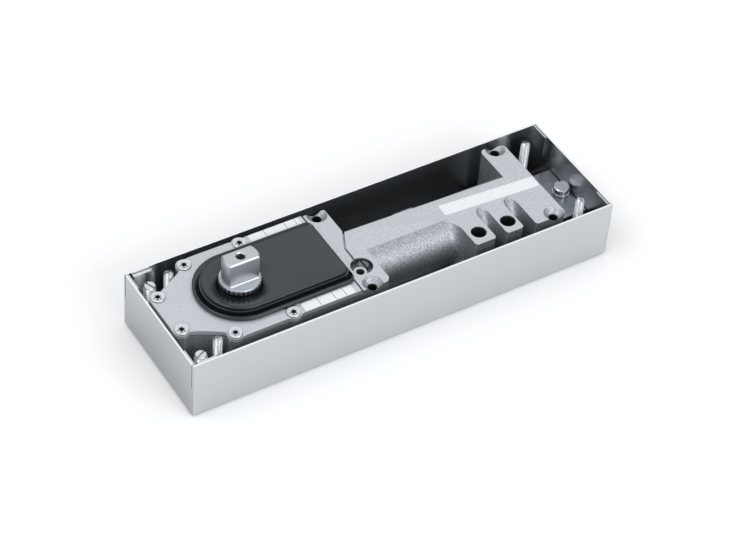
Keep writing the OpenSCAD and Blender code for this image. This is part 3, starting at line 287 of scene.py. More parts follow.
def sand_cast_iron():
    """Sand-cast iron under a thin zinc-grey coat: glittering grit, finer where the deck is milled."""
    look = bpy.context.scene.closer_finish
    material, tree, shader, place = new_material("sand_cast_iron_grey_coat")
    shader.inputs["Metallic"].default_value = 0.8
    height = add_node(tree, "ShaderNodeSeparateXYZ", links={0: place}).outputs["Z"]
    milled = between(tree, height, DECK_TOP - 0.0002, DECK_TOP - 0.00002, 0.0, 1.0).outputs[0]
    # Moulding sand leaves grit of about 0.5 mm; it is drawn at 0.8 mm so that it shows in the render
    grit = add_node(
        tree,
        "ShaderNodeTexNoise",
        {"Scale": 1250.0, "Detail": 4.0, "Roughness": 0.7},
        {"Vector": place},
    )
    lumps = add_node(tree, "ShaderNodeTexVoronoi", {"Scale": 900.0}, {"Vector": place})
    cloud = add_node(tree, "ShaderNodeTexNoise", {"Scale": 60.0, "Detail": 3.0}, {"Vector": place})
    raw_tones = zip((0.30, 0.55, 0.72), map(linear, (look.cast_dark, look.cast_mid, look.cast_light)))
    fine_tones = zip((0.35, 0.65), map(linear, (look.deck_dark, look.deck_light)))
    raw, fine = (ramp_of(tree, grit.outputs[0], list(tones)) for tones in (raw_tones, fine_tones))
    skin = add_node(
        tree,
        "ShaderNodeMix",
        {"data_type": "RGBA"},
        {"Factor": milled, 6: raw.outputs[0], 7: fine.outputs[0]},
    )
    # Bores, pockets and the foot of the walls are painted darker, as painted shade where little light
    # reaches
    light = between(tree, height, DECK_TOP - 0.018, DECK_TOP - 0.008, 0.92, 1.0).outputs[0]
    flat = add_node(
        tree, "ShaderNodeVectorMath", {"operation": "MULTIPLY", 1: (1.0, 1.0, 0.0)}, {0: place}
    )
    mouth = between(tree, height, DECK_TOP - 0.0016, DECK_TOP - 0.0003, 0.0, 1.0).outputs[0]
    for x, y, radius, dark in casting_wells():
        centre = {"operation": "DISTANCE", 1: (x, y, 0.0)}
        away = add_node(tree, "ShaderNodeVectorMath", centre, {0: flat.outputs[0]}).outputs["Value"]
        inside = between(tree, away, radius + 0.0002, radius + 0.0005, dark, 1.0).outputs[0]
        lit = add_node(tree, "ShaderNodeMath", {"operation": "MAXIMUM"}, {0: inside, 1: mouth})
        both = {0: light, 1: lit.outputs[0]}
        light = add_node(tree, "ShaderNodeMath", {"operation": "MULTIPLY"}, both).outputs[0]
    # The painted shade darkens the casting's tone
    shaded_tone = add_node(
        tree, "ShaderNodeVectorMath", {"operation": "SCALE"}, {0: skin.outputs[2], "Scale": light}
    )
    tree.links.new(shaded_tone.outputs[0], shader.inputs["Base Color"])
    dull = ramp_of(tree, cloud.outputs[0], [(0.3, 0.42), (0.7, 0.50)])
    tree.links.new(dull.outputs[0], shader.inputs["Roughness"])
    # Milling leaves a quarter of the grit's depth
    depth = add_node(
        tree, "ShaderNodeMath", {"operation": "MULTIPLY_ADD", 1: -0.75, 2: 1.0}, {0: milled}
    )
    both = {0: grit.outputs[0], 1: lumps.outputs["Distance"]}
    rough = add_node(tree, "ShaderNodeMath", {"operation": "ADD"}, both)
    both = {0: rough.outputs[0], 1: depth.outputs[0]}
    relief = add_node(tree, "ShaderNodeMath", {"operation": "MULTIPLY"}, both)
    raise_surface(tree, shader, relief, 0.5, 0.0002)
    return material


def fine_cast_cover():
    """Fine-cast cover under the same grey coat: lighter and smoother, with a faint salt-like grain."""
    look = bpy.context.scene.closer_finish
    material, tree, shader, place = new_material("fine_cast_iron_grey_coat")
    shader.inputs["Metallic"].default_value = 0.7
    # Fine moulding sand leaves grain of about 0.3 mm; it is drawn at 0.7 mm so that it shows
    grain = add_node(
        tree,
        "ShaderNodeTexNoise",
        {"Scale": 1500.0, "Detail": 3.0, "Roughness": 0.6},
        {"Vector": place},
    )
    paint(tree, shader, grain, (look.cover_dark, look.cover_light), (0.44, 0.52))
    raise_surface(tree, shader, grain, 0.3, 0.00008)
    return material


def moulded_nylon():
    """Injection-moulded black nylon with a fine spark-eroded grain: dark, with a soft grey sheen."""
    look = bpy.context.scene.closer_finish
    material, tree, shader, place = new_material("moulded_nylon_black")
    shader.inputs["IOR"].default_value = 1.53
    shader.inputs["Specular IOR Level"].default_value = 0.78
    shader.inputs["Specular Tint"].default_value = linear("#EDF5FF")
    cloud = add_node(tree, "ShaderNodeTexNoise", {"Scale": 45.0, "Detail": 2.0}, {"Vector": place})
    # The mould's eroded grain is about 0.1 mm; it is drawn at 0.4 mm so that it shows
    grain = add_node(tree, "ShaderNodeTexNoise", {"Scale": 2500.0, "Detail": 2.0}, {"Vector": place})
    tones = [(0.3, linear(look.black_dark)), (0.7, linear(look.black_light))]
    tone = ramp_of(tree, cloud.outputs[0], tones)
    tree.links.new(tone.outputs[0], shader.inputs["Base Color"])
    gloss = ramp_of(tree, grain.outputs[0], [(0.3, 0.17), (0.7, 0.20)])
    tree.links.new(gloss.outputs[0], shader.inputs["Roughness"])
    raise_surface(tree, shader, grain, 0.04, 0.00002)
    return material


def grained_metal(name, dark, light, roughness, grain_mm, strength, streaks=None, top=None):
    """A metal with a fine grain: dark and light are its tones, top a height and the tone above it.

    The grain is drawn as coarse as grain_mm so that it shows. Real grain is 0.05 to 0.2 mm.
    """
    material, tree, shader, place = new_material(name)
    shader.inputs["Metallic"].default_value = 1.0
    source = place
    if streaks:
        stretched = add_node(tree, "ShaderNodeMapping", {"Scale": streaks}, {"Vector": place})
        source = stretched.outputs[0]
    grain = add_node(
        tree,
        "ShaderNodeTexNoise",
        {"Scale": 1000.0 / grain_mm, "Detail": 3.0, "Roughness": 0.6},
        {"Vector": source},
    )
    paint(tree, shader, grain, (dark, light), (roughness * 0.9, roughness * 1.1))
    if top:
        below = shader.inputs["Base Color"].links[0].from_socket
        height = add_node(tree, "ShaderNodeSeparateXYZ", links={0: place}).outputs["Z"]
        over = between(tree, height, top[0] - 0.0001, top[0] + 0.0001, 0.0, 1.0)
        upper = add_node(
            tree,
            "ShaderNodeMix",
            {"data_type": "RGBA", 7: linear(top[1])},
            {"Factor": over.outputs[0], 6: below},
        )
        tree.links.new(upper.outputs[2], shader.inputs["Base Color"])
    raise_surface(tree, shader, grain, strength, 0.0001)
    return material


def soft_material(name, dark, light, roughness, grain_mm):
    """Rubber, fibre or film: a dull non-metal with a fine mottle."""
    material, tree, shader, place = new_material(name)
    settings = {"Scale": 1000.0 / grain_mm, "Detail": 3.0}
    grain = add_node(tree, "ShaderNodeTexNoise", settings, {"Vector": place})
    paint(tree, shader, grain, (dark, light), (roughness * 0.92, min(1.0, roughness * 1.08)))
    return material


# ---------------------------------------------------------------- moulded shell


def shroud_ring(radius, reach, corner, height):
    """Points of the shroud's outline: a half circle round the spindle and two far corners."""
    arcs = (
        ((0.0, 0.0), radius, 90, 270, 72),
        ((reach - corner, corner - radius), corner, 270, 360, 12),
        ((reach - corner, radius - corner), corner, 0, 90, 12),
    )
    points = []
    for (x, y), size, first, last, steps in arcs:
        for i in range(steps + 1):
            angle = math.radians(first + (last - first) * i / steps)
            across, aside = size * math.cos(angle), size * math.sin(angle)
            points.append((SPINDLE_X + x + across, y + aside, height))
    return points


def circle_ring(radius, height, count=72):
    """Points of a circle round the spindle."""
    turns = (math.radians(90 + 360 * i / count) for i in range(count))
    return [(SPINDLE_X + radius * math.cos(a), radius * math.sin(a), height) for a in turns]


def quarter_round(size):
    """Steps of a rounded edge from its wall to its top, as (way inwards, way up)."""
    for angle in range(0, 91, 15):
        lean = math.radians(angle)
        yield size * (1 - math.cos(lean)), size * math.sin(lean)


def shroud_rows(rounding):
    """The shroud's outside from below, as rows of (radius, reach, corner radius, height)."""
    low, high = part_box("shroud")
    foot, reach, tall = (high.y - low.y) / 2, high.x - SPINDLE_X, high.z - low.z
    bead, bead_height, bead_corner = 0.0009, 0.0026, 0.004
    rows = [(foot, reach, bead_corner, 0.0)]
    # At the straight far end the bead is a quarter as deep as round the spindle
    for inward, up in quarter_round(bead):
        rows.append((foot - inward, reach - inward * 0.25, bead_corner, bead_height - bead + up))
    # The bead falls away again towards the step, so that only its crest catches the light
    for inward, drop in ((0.0012, 0.00004), (0.0016, 0.00018), (0.0024, 0.0006), (0.0038, 0.0013)):
        shorter = 0.00022 + (inward - bead) * 0.16
        rows.append((foot - inward, reach - shorter, 0.0042, bead_height - drop))
    # The narrow step, with a worn edge
    radius, far, corner = foot - 0.0040, reach - 0.0007, 0.005
    groove, height = bead_height - 0.0014, 0.0035
    rows.append((radius, far, corner, groove))
    for inward, drop in ((0.0, 0.0003), (0.0001, 0.00008), (0.0003, 0.0)):
        rows.append((radius - inward, far - inward, corner, height - drop))
    # The raised top, with its round edge
    radius, far = foot - 0.0051, reach - 0.0016
    rows.append((radius, far, corner, height))
    for inward, up in quarter_round(rounding):
        rows.append((radius - inward, far - inward, corner - inward, tall - rounding + up))
    return rows


def shroud_shell(rounding):
    """The moulded shroud: a beaded foot, a narrow step and a raised top, open for the spindle."""
    low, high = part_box("shroud")
    tall = high.z - low.z
    # A shallow dish falls towards the spindle, and the bore goes through to the underside
    bore = SPINDLE_HIGH.y - 0.0009
    circles = [(0.0204, tall), (0.0197, tall - 0.00005), (0.0188, tall - 0.0002)]
    circles += [(bore + 0.0003, tall - 0.0020), (bore, tall - 0.0023), (bore, 0.0)]
    rows = [shroud_ring(r, x, corner, low.z + z) for r, x, corner, z in shroud_rows(rounding)]
    shape = bmesh.new()
    outside = add_rings(shape, rows)
    inside = add_rings(shape, [circle_ring(radius, low.z + z) for radius, z in circles])
    skin_rings(shape, outside)
    skin_rings(shape, inside)
    # The flat top and the flat underside run from the outline to the circle round the spindle
    for lines in ((outside[-1], inside[0]), (outside[0], inside[-1])):
        rim = []
        for line in lines:
            ahead = line[1:] + line[:1]
            rim += [shape.edges.get(pair) for pair in zip(line, ahead)]
        bmesh.ops.triangle_fill(shape, use_beauty=True, edges=rim)
    bmesh.ops.remove_doubles(shape, verts=shape.verts, dist=0.0000005)
    bmesh.ops.recalc_face_normals(shape, faces=shape.faces)
    for face in shape.faces:
        face.smooth = True
    mesh = mesh_of(shape, "shroud_moulding")
    mesh.set_sharp_from_angle(angle=math.radians(38))
    return mesh


# ---------------------------------------------------------------- turned, threaded and cut pieces


def threaded_mesh(node_name, pitch, foot, chamfer, taller):
    """A screw's body with its thread: foot is (radius, height) of a plain lower end, or None."""
    low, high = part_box(node_name)
    high.z += taller
    centre = ((low.x + high.x) / 2, (low.y + high.y) / 2)
    radius, tall = (high.x - low.x) / 2, high.z - low.z
    across, along = chamfer
    # A thread is about 0.54 of its pitch deep; crest and flank are shares of half a pitch
    depth, crest, flank = 0.54 * pitch, 0.12, 0.70
    # The lower end is bevelled 0.6 mm, at 0.8 across for 1 up
    bevel, slope = 0.0006, 0.8
    count, step = 40, pitch / 6
    heights = [i * step for i in range(int(tall / step))] + [tall]
    if foot:
        heights = [h for h in heights if abs(h - foot[1]) > step]
        heights += [foot[1] - 0.00002, foot[1] + 0.00002]
    rows = []
    for h in sorted(heights):
        row = []
        for i in range(count):
            angle = 2 * math.pi * i / count
            phase = (h / pitch - i / count) % 1.0
            wave = min(1.0, max(0.0, (abs(2 * phase - 1) - crest) / flank))
            size = radius - depth * wave
            if foot and h < foot[1]:
                size = foot[0]
            size = min(size, radius - across * max(0.0, (h - tall + along) / along))
            size = min(size, radius - bevel + h * slope)
            x, y = centre[0] + size * math.cos(angle), centre[1] + size * math.sin(angle)
            row.append((x, y, low.z + h))
        rows.append(row)
    shape = bmesh.new()
    close_rings(shape, add_rings(shape, rows))
    return mesh_of(shape, node_name + "_thread")


def turned(name, centre, profile, count=96):
    """A solid turned round an upright axis: profile lists (radius, height) from below."""
    turns = [2 * math.pi * i / count for i in range(count)]
    rows = [
        [(centre.x + r * math.cos(t), centre.y + r * math.sin(t), centre.z + height) for t in turns]
        for r, height in profile
    ]
    shape = bmesh.new()
    close_rings(shape, add_rings(shape, rows))
    return mesh_of(shape, name)


def block(name, centre, size, turn=0.0, axis="Z"):
    """A plain block round its centre, turned by so many degrees about one axis."""
    shape = bmesh.new()
    bmesh.ops.create_cube(shape, size=1.0)
    turning = Matrix.Rotation(math.radians(turn), 4, axis)
    place = Matrix.Translation(centre) @ turning @ Matrix.Diagonal((*size, 1.0))
    bmesh.ops.transform(shape, matrix=place, verts=shape.verts)
    return mesh_of(shape, name)


def carved(name, mesh, added=(), cut=()):
    """Joins solids to a mesh, then cuts others away, and returns the plain mesh."""
    holder = bpy.data.objects.new(name + "_blank", mesh)
    bpy.context.scene.collection.objects.link(holder)
    tools = []
    for kind, solids in (("UNION", added), ("DIFFERENCE", cut)):
        for solid in solids:
            tool = bpy.data.objects.new(name + "_tool", solid)
            bpy.context.scene.collection.objects.link(tool)
            step = holder.modifiers.new(kind.lower(), "BOOLEAN")
            step.operation, step.solver, step.object = kind, "EXACT", tool
            tools.append(tool)
    result = evaluated_mesh(holder, name)
    holder.modifiers.clear()
    for piece in (holder, *tools):
        bpy.data.objects.remove(piece)
    for polygon in result.polygons:
        polygon.use_smooth = True
    result.set_sharp_from_angle(angle=math.radians(40))
    return result


def toothed_ring(centre, radius, height, depth, teeth, tooth_half):
    """A ring of small teeth: depth is how far the gaps go in, tooth_half half of a tooth's width."""
    ring = turned("teeth", centre, [(radius, 0.0), (radius, height)], teeth * 8)
    gear = bmesh.new()
    gear.from_mesh(ring)
    part, edge = 2 * math.pi / teeth, tooth_half / radius
    for vert in gear.verts:
        arm = Vector((vert.co.x - centre.x, vert.co.y - centre.y, 0))
        if edge < math.atan2(arm.y, arm.x) % part < part - edge:
            vert.co -= arm.normalized() * depth
    gear.to_mesh(ring)
    gear.free()
    return ring


def spindle_mesh():
    """The spindle's pressed head: two chamfered flats with feet, on a toothed flange."""
    tall, half, radius, chamfer = 0.0199, 0.0055, 0.0110, 0.001
    flange_top = 0.0032
    foot = Vector((SPINDLE_X, 0.0, SPINDLE_HIGH.z - tall))
    head = turned("head", foot, [(radius, 0.0010), (radius, tall - chamfer), (radius - chamfer, tall)])
    sides, feet, edges = [], [], []
    length = 2 * math.sqrt(radius**2 - (half + 0.0006) ** 2)
    for way in (-1, 1):
        side = foot + Vector((0, way * (half + 0.01), tall / 2))
        sides.append(block("side", side, (0.05, 0.02, 0.05)))
        root = foot + Vector((0, way * half, flange_top))
        feet.append(block("foot", root, (length, 0.0008, 0.0008), 45, "X"))
        edge = foot + Vector((0, way * half, tall))
        edges.append(block("edge", edge, (0.033, 0.0011, 0.0011), 45, "X"))
    flats = carved("flats", head, cut=sides)
    # The flange is a thin disc that covers its teeth
    core, rim = 0.0115, 0.0123
    profile = [(core, 0.0), (core, 0.0022), (rim, 0.0023), (rim, 0.0029), (rim - 0.0003, flange_top)]
    disc = turned("disc", foot, profile)
    teeth = toothed_ring(
        foot, radius=0.0125, height=0.0024, depth=0.0011, teeth=28, tooth_half=0.00075
    )
    # The hole for the strap's screw is countersunk and ends above the flange
    hole = [(0.0025, 0.0059), (0.0025, 0.0192), (0.0032, tall), (0.0034, 0.0201)]
    bore = turned("bore", foot, hole, 48)
    return carved("spindle_head_pressed", disc, [teeth, flats, *feet], [bore, *edges])


def threaded_screw(node_name, body, material, turn, pitch, foot, chamfer, slot, taller=0.0):
    """Stands a threaded screw in a plain one's place: slot is (width, depth), turn its direction."""
    low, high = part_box(node_name)
    top = Vector(((low.x + high.x) / 2, (low.y + high.y) / 2, high.z + taller))
    blank = threaded_mesh(node_name, pitch, foot, chamfer, taller)
    width, depth = slot
    groove = block("slot", top, (0.02, width, 2 * depth), turn)
    mesh = carved(node_name + "_slotted", blank, cut=[groove])
    piece = finished(node_name + "_threaded", mesh, material, body)
    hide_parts(node_name)


def spring_part(name, first, last):
    """Part of the closing spring between two turns of its wire, with where it starts and ends."""
    low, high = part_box("closing_spring")
    wire, coil, curls, rings, sides = 0.0020, 0.0105, 12, 24, 12
    # The solid's wire has six sides, so that its box ends a little before a round wire's
    edge = wire * math.sin(math.radians(60))
    span = high.x - low.x - 2 * edge
    close = 2 * wire + 0.0006
    even = (span - 2 * close) / (curls - 2)
    middle = Vector((low.x + edge, (low.y + high.y) / 2, (low.z + high.z) / 2))

    def along(turn):
        """How far the wire has come after so many turns: close end curls, even middle curls."""
        if turn < 1:
            return turn * close
        if turn > curls - 1:
            return span - (curls - turn) * close
        return close + (turn - 1) * even

    rows = []
    for i in range(round((last - first) * rings) + 1):
        turn = first + i / rings
        angle = 2 * math.pi * turn
        row = []
        for side in range(sides):
            lean = 2 * math.pi * side / sides
            out = coil + wire * math.cos(lean)
            arm = (along(turn) + wire * math.sin(lean), out * math.cos(angle), out * math.sin(angle))
            row.append(middle + Vector(arm))
        rows.append(row)
    shape = bmesh.new()
    close_rings(shape, add_rings(shape, rows))
    bmesh.ops.recalc_face_normals(shape, faces=shape.faces)
    for face in shape.faces:
        face.smooth = len(face.verts) == 4
    return mesh_of(shape, name), middle.x + along(first), middle.x + along(last)


# ---------------------------------------------------------------- geometry nodes


def bars_on_points(name, material):
    """A tree that stands a thin bar on every point of a mesh: rules printed on a label."""
    tree = bpy.data.node_groups.new(name, "GeometryNodeTree")
    face = tree.interface
    face.new_socket(name="Places", in_out="INPUT", socket_type="NodeSocketGeometry")
    sizes = {}
    for label, value in (("Width", 0.0002), ("Length", 0.006), ("Thickness", 0.00002), ("Turn", 0.0)):
        socket = face.new_socket(name=label, in_out="INPUT", socket_type="NodeSocketFloat")
        socket.default_value = value
        sizes[label] = socket.identifier
    face.new_socket(name="Bars", in_out="OUTPUT", socket_type="NodeSocketGeometry")
    start = tree.nodes.new("NodeGroupInput").outputs
    edges = {"X": start["Width"], "Y": start["Length"], "Z": start["Thickness"]}
    size = add_node(tree, "ShaderNodeCombineXYZ", links=edges)
    bar = add_node(tree, "GeometryNodeMeshCube", links={"Size": size.outputs[0]})
    turn = add_node(tree, "ShaderNodeCombineXYZ", links={"Z": start["Turn"]})
    placed = add_node(
        tree,
        "GeometryNodeInstanceOnPoints",
        links={"Points": start["Places"], "Instance": bar.outputs["Mesh"], "Rotation": turn.outputs[0]},
    )
    real = add_node(tree, "GeometryNodeRealizeInstances", links={0: placed.outputs[0]})
    bars = {"Geometry": real.outputs[0]}
    inked = add_node(tree, "GeometryNodeSetMaterial", {"Material": material}, bars)
    add_node(tree, "NodeGroupOutput", links={0: inked.outputs[0]})
    return tree, sizes


def baked(name, mesh, tree, values):
    """Runs a geometry tree on a mesh and returns the plain mesh that it makes."""
    holder = bpy.data.objects.new(name + "_points", mesh)
    bpy.context.scene.collection.objects.link(holder)
    modifier = holder.modifiers.new(name, "NODES")
    modifier.node_group = tree
    for identifier, value in values.items():
        modifier[identifier] = value
    result = evaluated_mesh(holder, name)
    holder.modifiers.remove(modifier)
    bpy.data.objects.remove(holder)
    return result


# ---------------------------------------------------------------- settings


class CloserSizes(bpy.types.PropertyGroup):
    """Sizes that change how the closer's pieces look"""

    sheet_edge: bpy.props.FloatProperty(
        name="Sheet edge",
        description="Rounding of the box's sheet edges",
        default=0.00022,
        unit="LENGTH",
    )
    cast_edge: bpy.props.FloatProperty(
        name="Cast edge",
        description="Rounding of the casting's edges",
        default=0.0005,
        unit="LENGTH",
    )
    moulded_edge: bpy.props.FloatProperty(
        name="Moulded edge",
        description="Rounding of the shroud's edges",
        default=0.0009,
        unit="LENGTH",
    )
    turned_edge: bpy.props.FloatProperty(
        name="Turned edge",
        description="Rounding of the spindle's and screws' edges",
        default=0.00025,
        unit="LENGTH",
    )
    rule_width: bpy.props.FloatProperty(
        name="Rule width",
        description="Width of the rules printed on the label strips",
        default=0.0003,
        unit="LENGTH",
    )


class CloserFinish(bpy.types.PropertyGroup):
    """Colours of the closer's main finishes, as sRGB hex values"""

    sheet_dark: bpy.props.StringProperty(
        name="Sheet, dark", description="Darker zinc tone", default="#C4C8CB"
    )
    sheet_light: bpy.props.StringProperty(
        name="Sheet, light", description="Lighter zinc tone", default="#C7CBCD"
    )
    # A painted highlight along the box's upper edge
    sheet_rim_highlight: bpy.props.StringProperty(
        name="Sheet, rim highlight", description="Painted highlight on the upper edge", default="#F2F4F6"
    )
    cast_dark: bpy.props.StringProperty(
        name="Cast, dark", description="Casting between the grit", default="#7C8085"
    )
    cast_mid: bpy.props.StringProperty(
        name="Cast, middle", description="Casting's main tone", default="#B4B8BD"
    )
    cast_light: bpy.props.StringProperty(
        name="Cast, light", description="Tips of the grit", default="#EDF0F2"
    )
    deck_dark: bpy.props.StringProperty(
        name="Deck, dark", description="Darker milled tone", default="#C0C4C8"
    )
    deck_light: bpy.props.StringProperty(
        name="Deck, light", description="Lighter milled tone", default="#D9DDE0"
    )
    cover_dark: bpy.props.StringProperty(
        name="Cover, dark", description="Cover's darker tone", default="#C3C7CB"
    )
    cover_light: bpy.props.StringProperty(
        name="Cover, light", description="Cover's lighter tone", default="#D8DCDF"
    )
    black_dark: bpy.props.StringProperty(
        name="Black, dark", description="Shroud's darker tone", default="#06090D"
    )
    black_light: bpy.props.StringProperty(
        name="Black, light", description="Shroud's lighter tone", default="#0A0E14"
    )


# ---------------------------------------------------------------- pieces


class MakeCementBox(bpy.types.Operator):
    """Dresses the folded sheet box"""

    bl_idname = "floor_closer.cement_box"
    bl_label = "Cement box"

    def execute(self, context):
        sizes = context.scene.closer_sizes
        dress("cement_box", galvanised_sheet())
        soften("cement_box", sizes.sheet_edge, 40)
        return {"FINISHED"}


class MakeCasting(bpy.types.Operator):
    """Dresses the cast body of the closer"""

    bl_idname = "floor_closer.casting"
    bl_label = "Casting"

    def execute(self, context):
        sizes = context.scene.closer_sizes
        dress("closer_housing", sand_cast_iron())
        soften("closer_housing", sizes.cast_edge, 35)
        return {"FINISHED"}


class MakeCover(bpy.types.Operator):
    """Dresses the cast cover of the head, its gasket and its six screws"""

    bl_idname = "floor_closer.cover"
    bl_label = "Cover"

    def execute(self, context):
        sizes = context.scene.closer_sizes
        dress("cap_plate", fine_cast_cover())
        soften("cap_plate", sizes.cast_edge * 0.7, 35)
        dress("cap_gasket", soft_material("pressed_fibre_gasket", "#2C2C2A", "#3A3A37", 0.85, 1.2))
        head_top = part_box("cap_screws")[1].z
        # The tops keep the steel's pale tone; below them the six-lobe sockets and the heads' sides are
        # painted dark, as painted shade
        top = (head_top - 0.0005, "#DCDFE2")
        steel = grained_metal("zinc_flake_coated_steel", "#3C3F42", "#4C4F53", 0.36, 0.6, 0.08, top=top)
        dress("cap_screws", steel)
        soften("cap_screws", sizes.turned_edge * 0.6, 35, 1)
        return {"FINISHED"}


class MakeShroud(bpy.types.Operator):
    """Makes the moulded shroud round the spindle"""

    bl_idname = "floor_closer.shroud"
    bl_label = "Shroud"

    def execute(self, context):
        sizes = context.scene.closer_sizes
        nylon = moulded_nylon()
        dress("shroud", nylon)
        mesh = shroud_shell(sizes.moulded_edge)
        shell = finished("shroud_moulding", mesh, nylon, ROOT)
        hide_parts("shroud")
        return {"FINISHED"}


class MakeSpindle(bpy.types.Operator):
    """Dresses the flat-sided spindle head"""

    bl_idname = "floor_closer.spindle"
    bl_label = "Spindle"

    def execute(self, context):
        sizes = context.scene.closer_sizes
        # The top has one even tone, without the grain of the pressed sides
        top = (SPINDLE_HIGH.z - 0.0004, "#C6C9CC")
        steel = grained_metal("sintered_steel_pressed", "#B2B6BA", "#CBCED2", 0.38, 0.5, 0.16, top=top)
        dress("spindle_head", steel)
        head = finished("spindle_head_pressed", spindle_mesh(), steel, "spindle")
        round_edges(head, sizes.turned_edge * 0.6, 35)
        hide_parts("spindle_head")
        return {"FINISHED"}


class MakeScrews(bpy.types.Operator):
    """Dresses the studs, the levelling screws, the clamp screw and the brackets of the box"""

    bl_idname = "floor_closer.screws"
    bl_label = "Box screws and brackets"

    def execute(self, context):
        sizes = context.scene.closer_sizes
        bright = grained_metal("bright_zinc_plated_steel", "#B9BCC0", "#CBCED1", 0.20, 0.9, 0.02)
        plated = grained_metal("zinc_plated_strip_bright", "#CFD2D5", "#DEE1E3", 0.30, 0.9, 0.02)
        # M6 studs with a plain foot for their nuts; their slots and heights are as in the photograph
        stud_pitch, stud_foot = 0.0010, (0.0027, 0.0101)
        stud_round, stud_slot = (0.0012, 0.0010), (0.0010, 0.0016)
        for name, body, turn, taller in (
            ("cover_stud_front_left", "front_left_stud", -10, 0.0021),
            ("cover_stud_back_left", "back_left_stud", -5, 0.0021),
            ("cover_stud_front_right", "front_right_stud", 85, 0.0021),
            ("cover_stud_back_right", "back_right_stud", 150, 0.0001),
        ):
            dress(name, bright)
            form = (stud_pitch, stud_foot, stud_round, stud_slot, taller)
            threaded_screw(name, body, bright, turn, *form)
        # M8 set screws, threaded all the way down
        level_pitch, level_chamfer, level_slot = 0.00125, (0.0009, 0.0009), (0.0013, 0.0024)
        for name, body, turn in (
            ("level_screw_front", "front_level", 29),
            ("level_screw_back", "back_level", -68),
        ):
            form = (level_pitch, None, level_chamfer, level_slot)
            dress(name, plated)
            threaded_screw(name, body, plated, turn, *form)
        for name in ("clamp_screw", "clamp_washer", "clamp_pillar"):
            dress(name, bright)
            soften(name, sizes.turned_edge, 35)
        dark = grained_metal("phosphated_steel_turned", "#66696D", "#7C7F84", 0.38, 0.4, 0.08)
        dress("hold_open_valve", dark)
        soften("hold_open_valve", sizes.turned_edge, 35)
        for name in ("stud_nuts", "carrier_screws"):
            dress(name, bright)
        rolled = (0.05, 1.0, 1.0)
        sheet = grained_metal(
            "zinc_plated_strip_bent", "#7E8287", "#92969B", 0.22, 0.5, 0.02, streaks=rolled
        )
        for name, finish in (("left_carrier", plated), ("end_bracket", sheet)):
            dress(name, finish)
            soften(name, sizes.sheet_edge, 40)
        return {"FINISHED"}


class MakeLabels(bpy.types.Operator):
    """Dresses the bare label strips and prints the rules between their fields"""

    bl_idname = "floor_closer.labels"
    bl_label = "Label strips"

    def execute(self, context):
        sizes = context.scene.closer_sizes
        film = soft_material("printed_film_white", "#E2E4E6", "#E9EBED", 0.42, 0.8)
        dress("label_strips", film)
        ink = soft_material("printing_ink_grey", "#3A3D41", "#4A4D51", 0.6, 0.4)
        tree, socket = bars_on_points("label_rules", ink)
        # Where the rules stand on the front and the back strip, just over the film
        top = COVER_TOP + 0.00015
        front, back = -0.0317, 0.0315
        spots = [(x, front, top) for x in (-0.0563, -0.0463, -0.0395)]
        spots += [(x, back, top) for x in (-0.0560, -0.0420, -0.0352)]
        places = bpy.data.meshes.new("rule_places")
        places.from_pydata(spots, [], [])
        rule = {"Width": sizes.rule_width, "Length": 0.0066, "Thickness": 0.00002, "Turn": 0.0}
        values = {socket[label]: value for label, value in rule.items()}
        mesh = baked("label_rules", places, tree, values)
        finished("label_rules", mesh, ink, ROOT)
        return {"FINISHED"}


class MakeMechanism(bpy.types.Operator):
    """Dresses the cam, piston, spring, bearings, seals and valves inside the casting"""

    bl_idname = "floor_closer.mechanism"
    bl_label = "Mechanism"

    def execute(self, context):
        lathe = (1.0, 1.0, 6.0)
        turned = grained_metal(
            "turned_steel_oiled", "#74787D", "#8E9297", 0.30, 0.5, 0.08, streaks=lathe
        )
        hardened = grained_metal("hardened_steel_ground", "#8A8E93", "#A6AAAE", 0.18, 0.3, 0.04)
        spring = grained_metal("spring_steel_shot_peened", "#3A3D41", "#54575B", 0.45, 0.5, 0.3)
        oxide = grained_metal("black_oxide_steel_turned", "#141517", "#202224", 0.5, 0.4, 0.05)
        bronze = grained_metal("bearing_bronze_turned", "#A9804A", "#C29A60", 0.28, 0.5, 0.06)
        rubber = soft_material("nitrile_rubber_moulded", "#0F0F10", "#19191A", 0.6, 0.6)
        finishes = {
            turned: ("spindle_shaft", "piston", "spring_seat", "force_screw", "end_plug"),
            hardened: (
                "cam_disc",
                "cam_key",
                "roller_pin",
                "cam_roller",
                "upper_bearing_cup",
                "upper_needle_cage",
                "lower_bearing_cup",
                "lower_needle_cage",
            ),
            spring: ("closing_spring", "cam_circlip"),
            oxide: ("closing_speed_valve", "latching_speed_valve", "filler_plug"),
            bronze: ("thrust_washer", "check_valve"),
            rubber: ("shaft_seal", "piston_seal", "end_plug_ring"),
        }
        for material, names in finishes.items():
            for name in names:
                dress(name, material)
        # The piston presses one part of the spring, and the adjuster's seat the other; the wire is
        # parted after 8.5 of its 12 turns, and travel is how far the joint presses it together
        parting, turns = 8.5, 12
        for name, first, last, joint, travel in (
            ("closing_spring_piston_side", 0, parting, "piston_slide", 0.0120),
            ("closing_spring_seat_side", parting, turns, "spring_seat_slide", 0.0051),
        ):
            mesh, start, end = spring_part(name, first, last)
            piece = finished(name, mesh, spring, ROOT)
            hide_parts("closing_spring")
            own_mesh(piece)
        return {"FINISHED"}


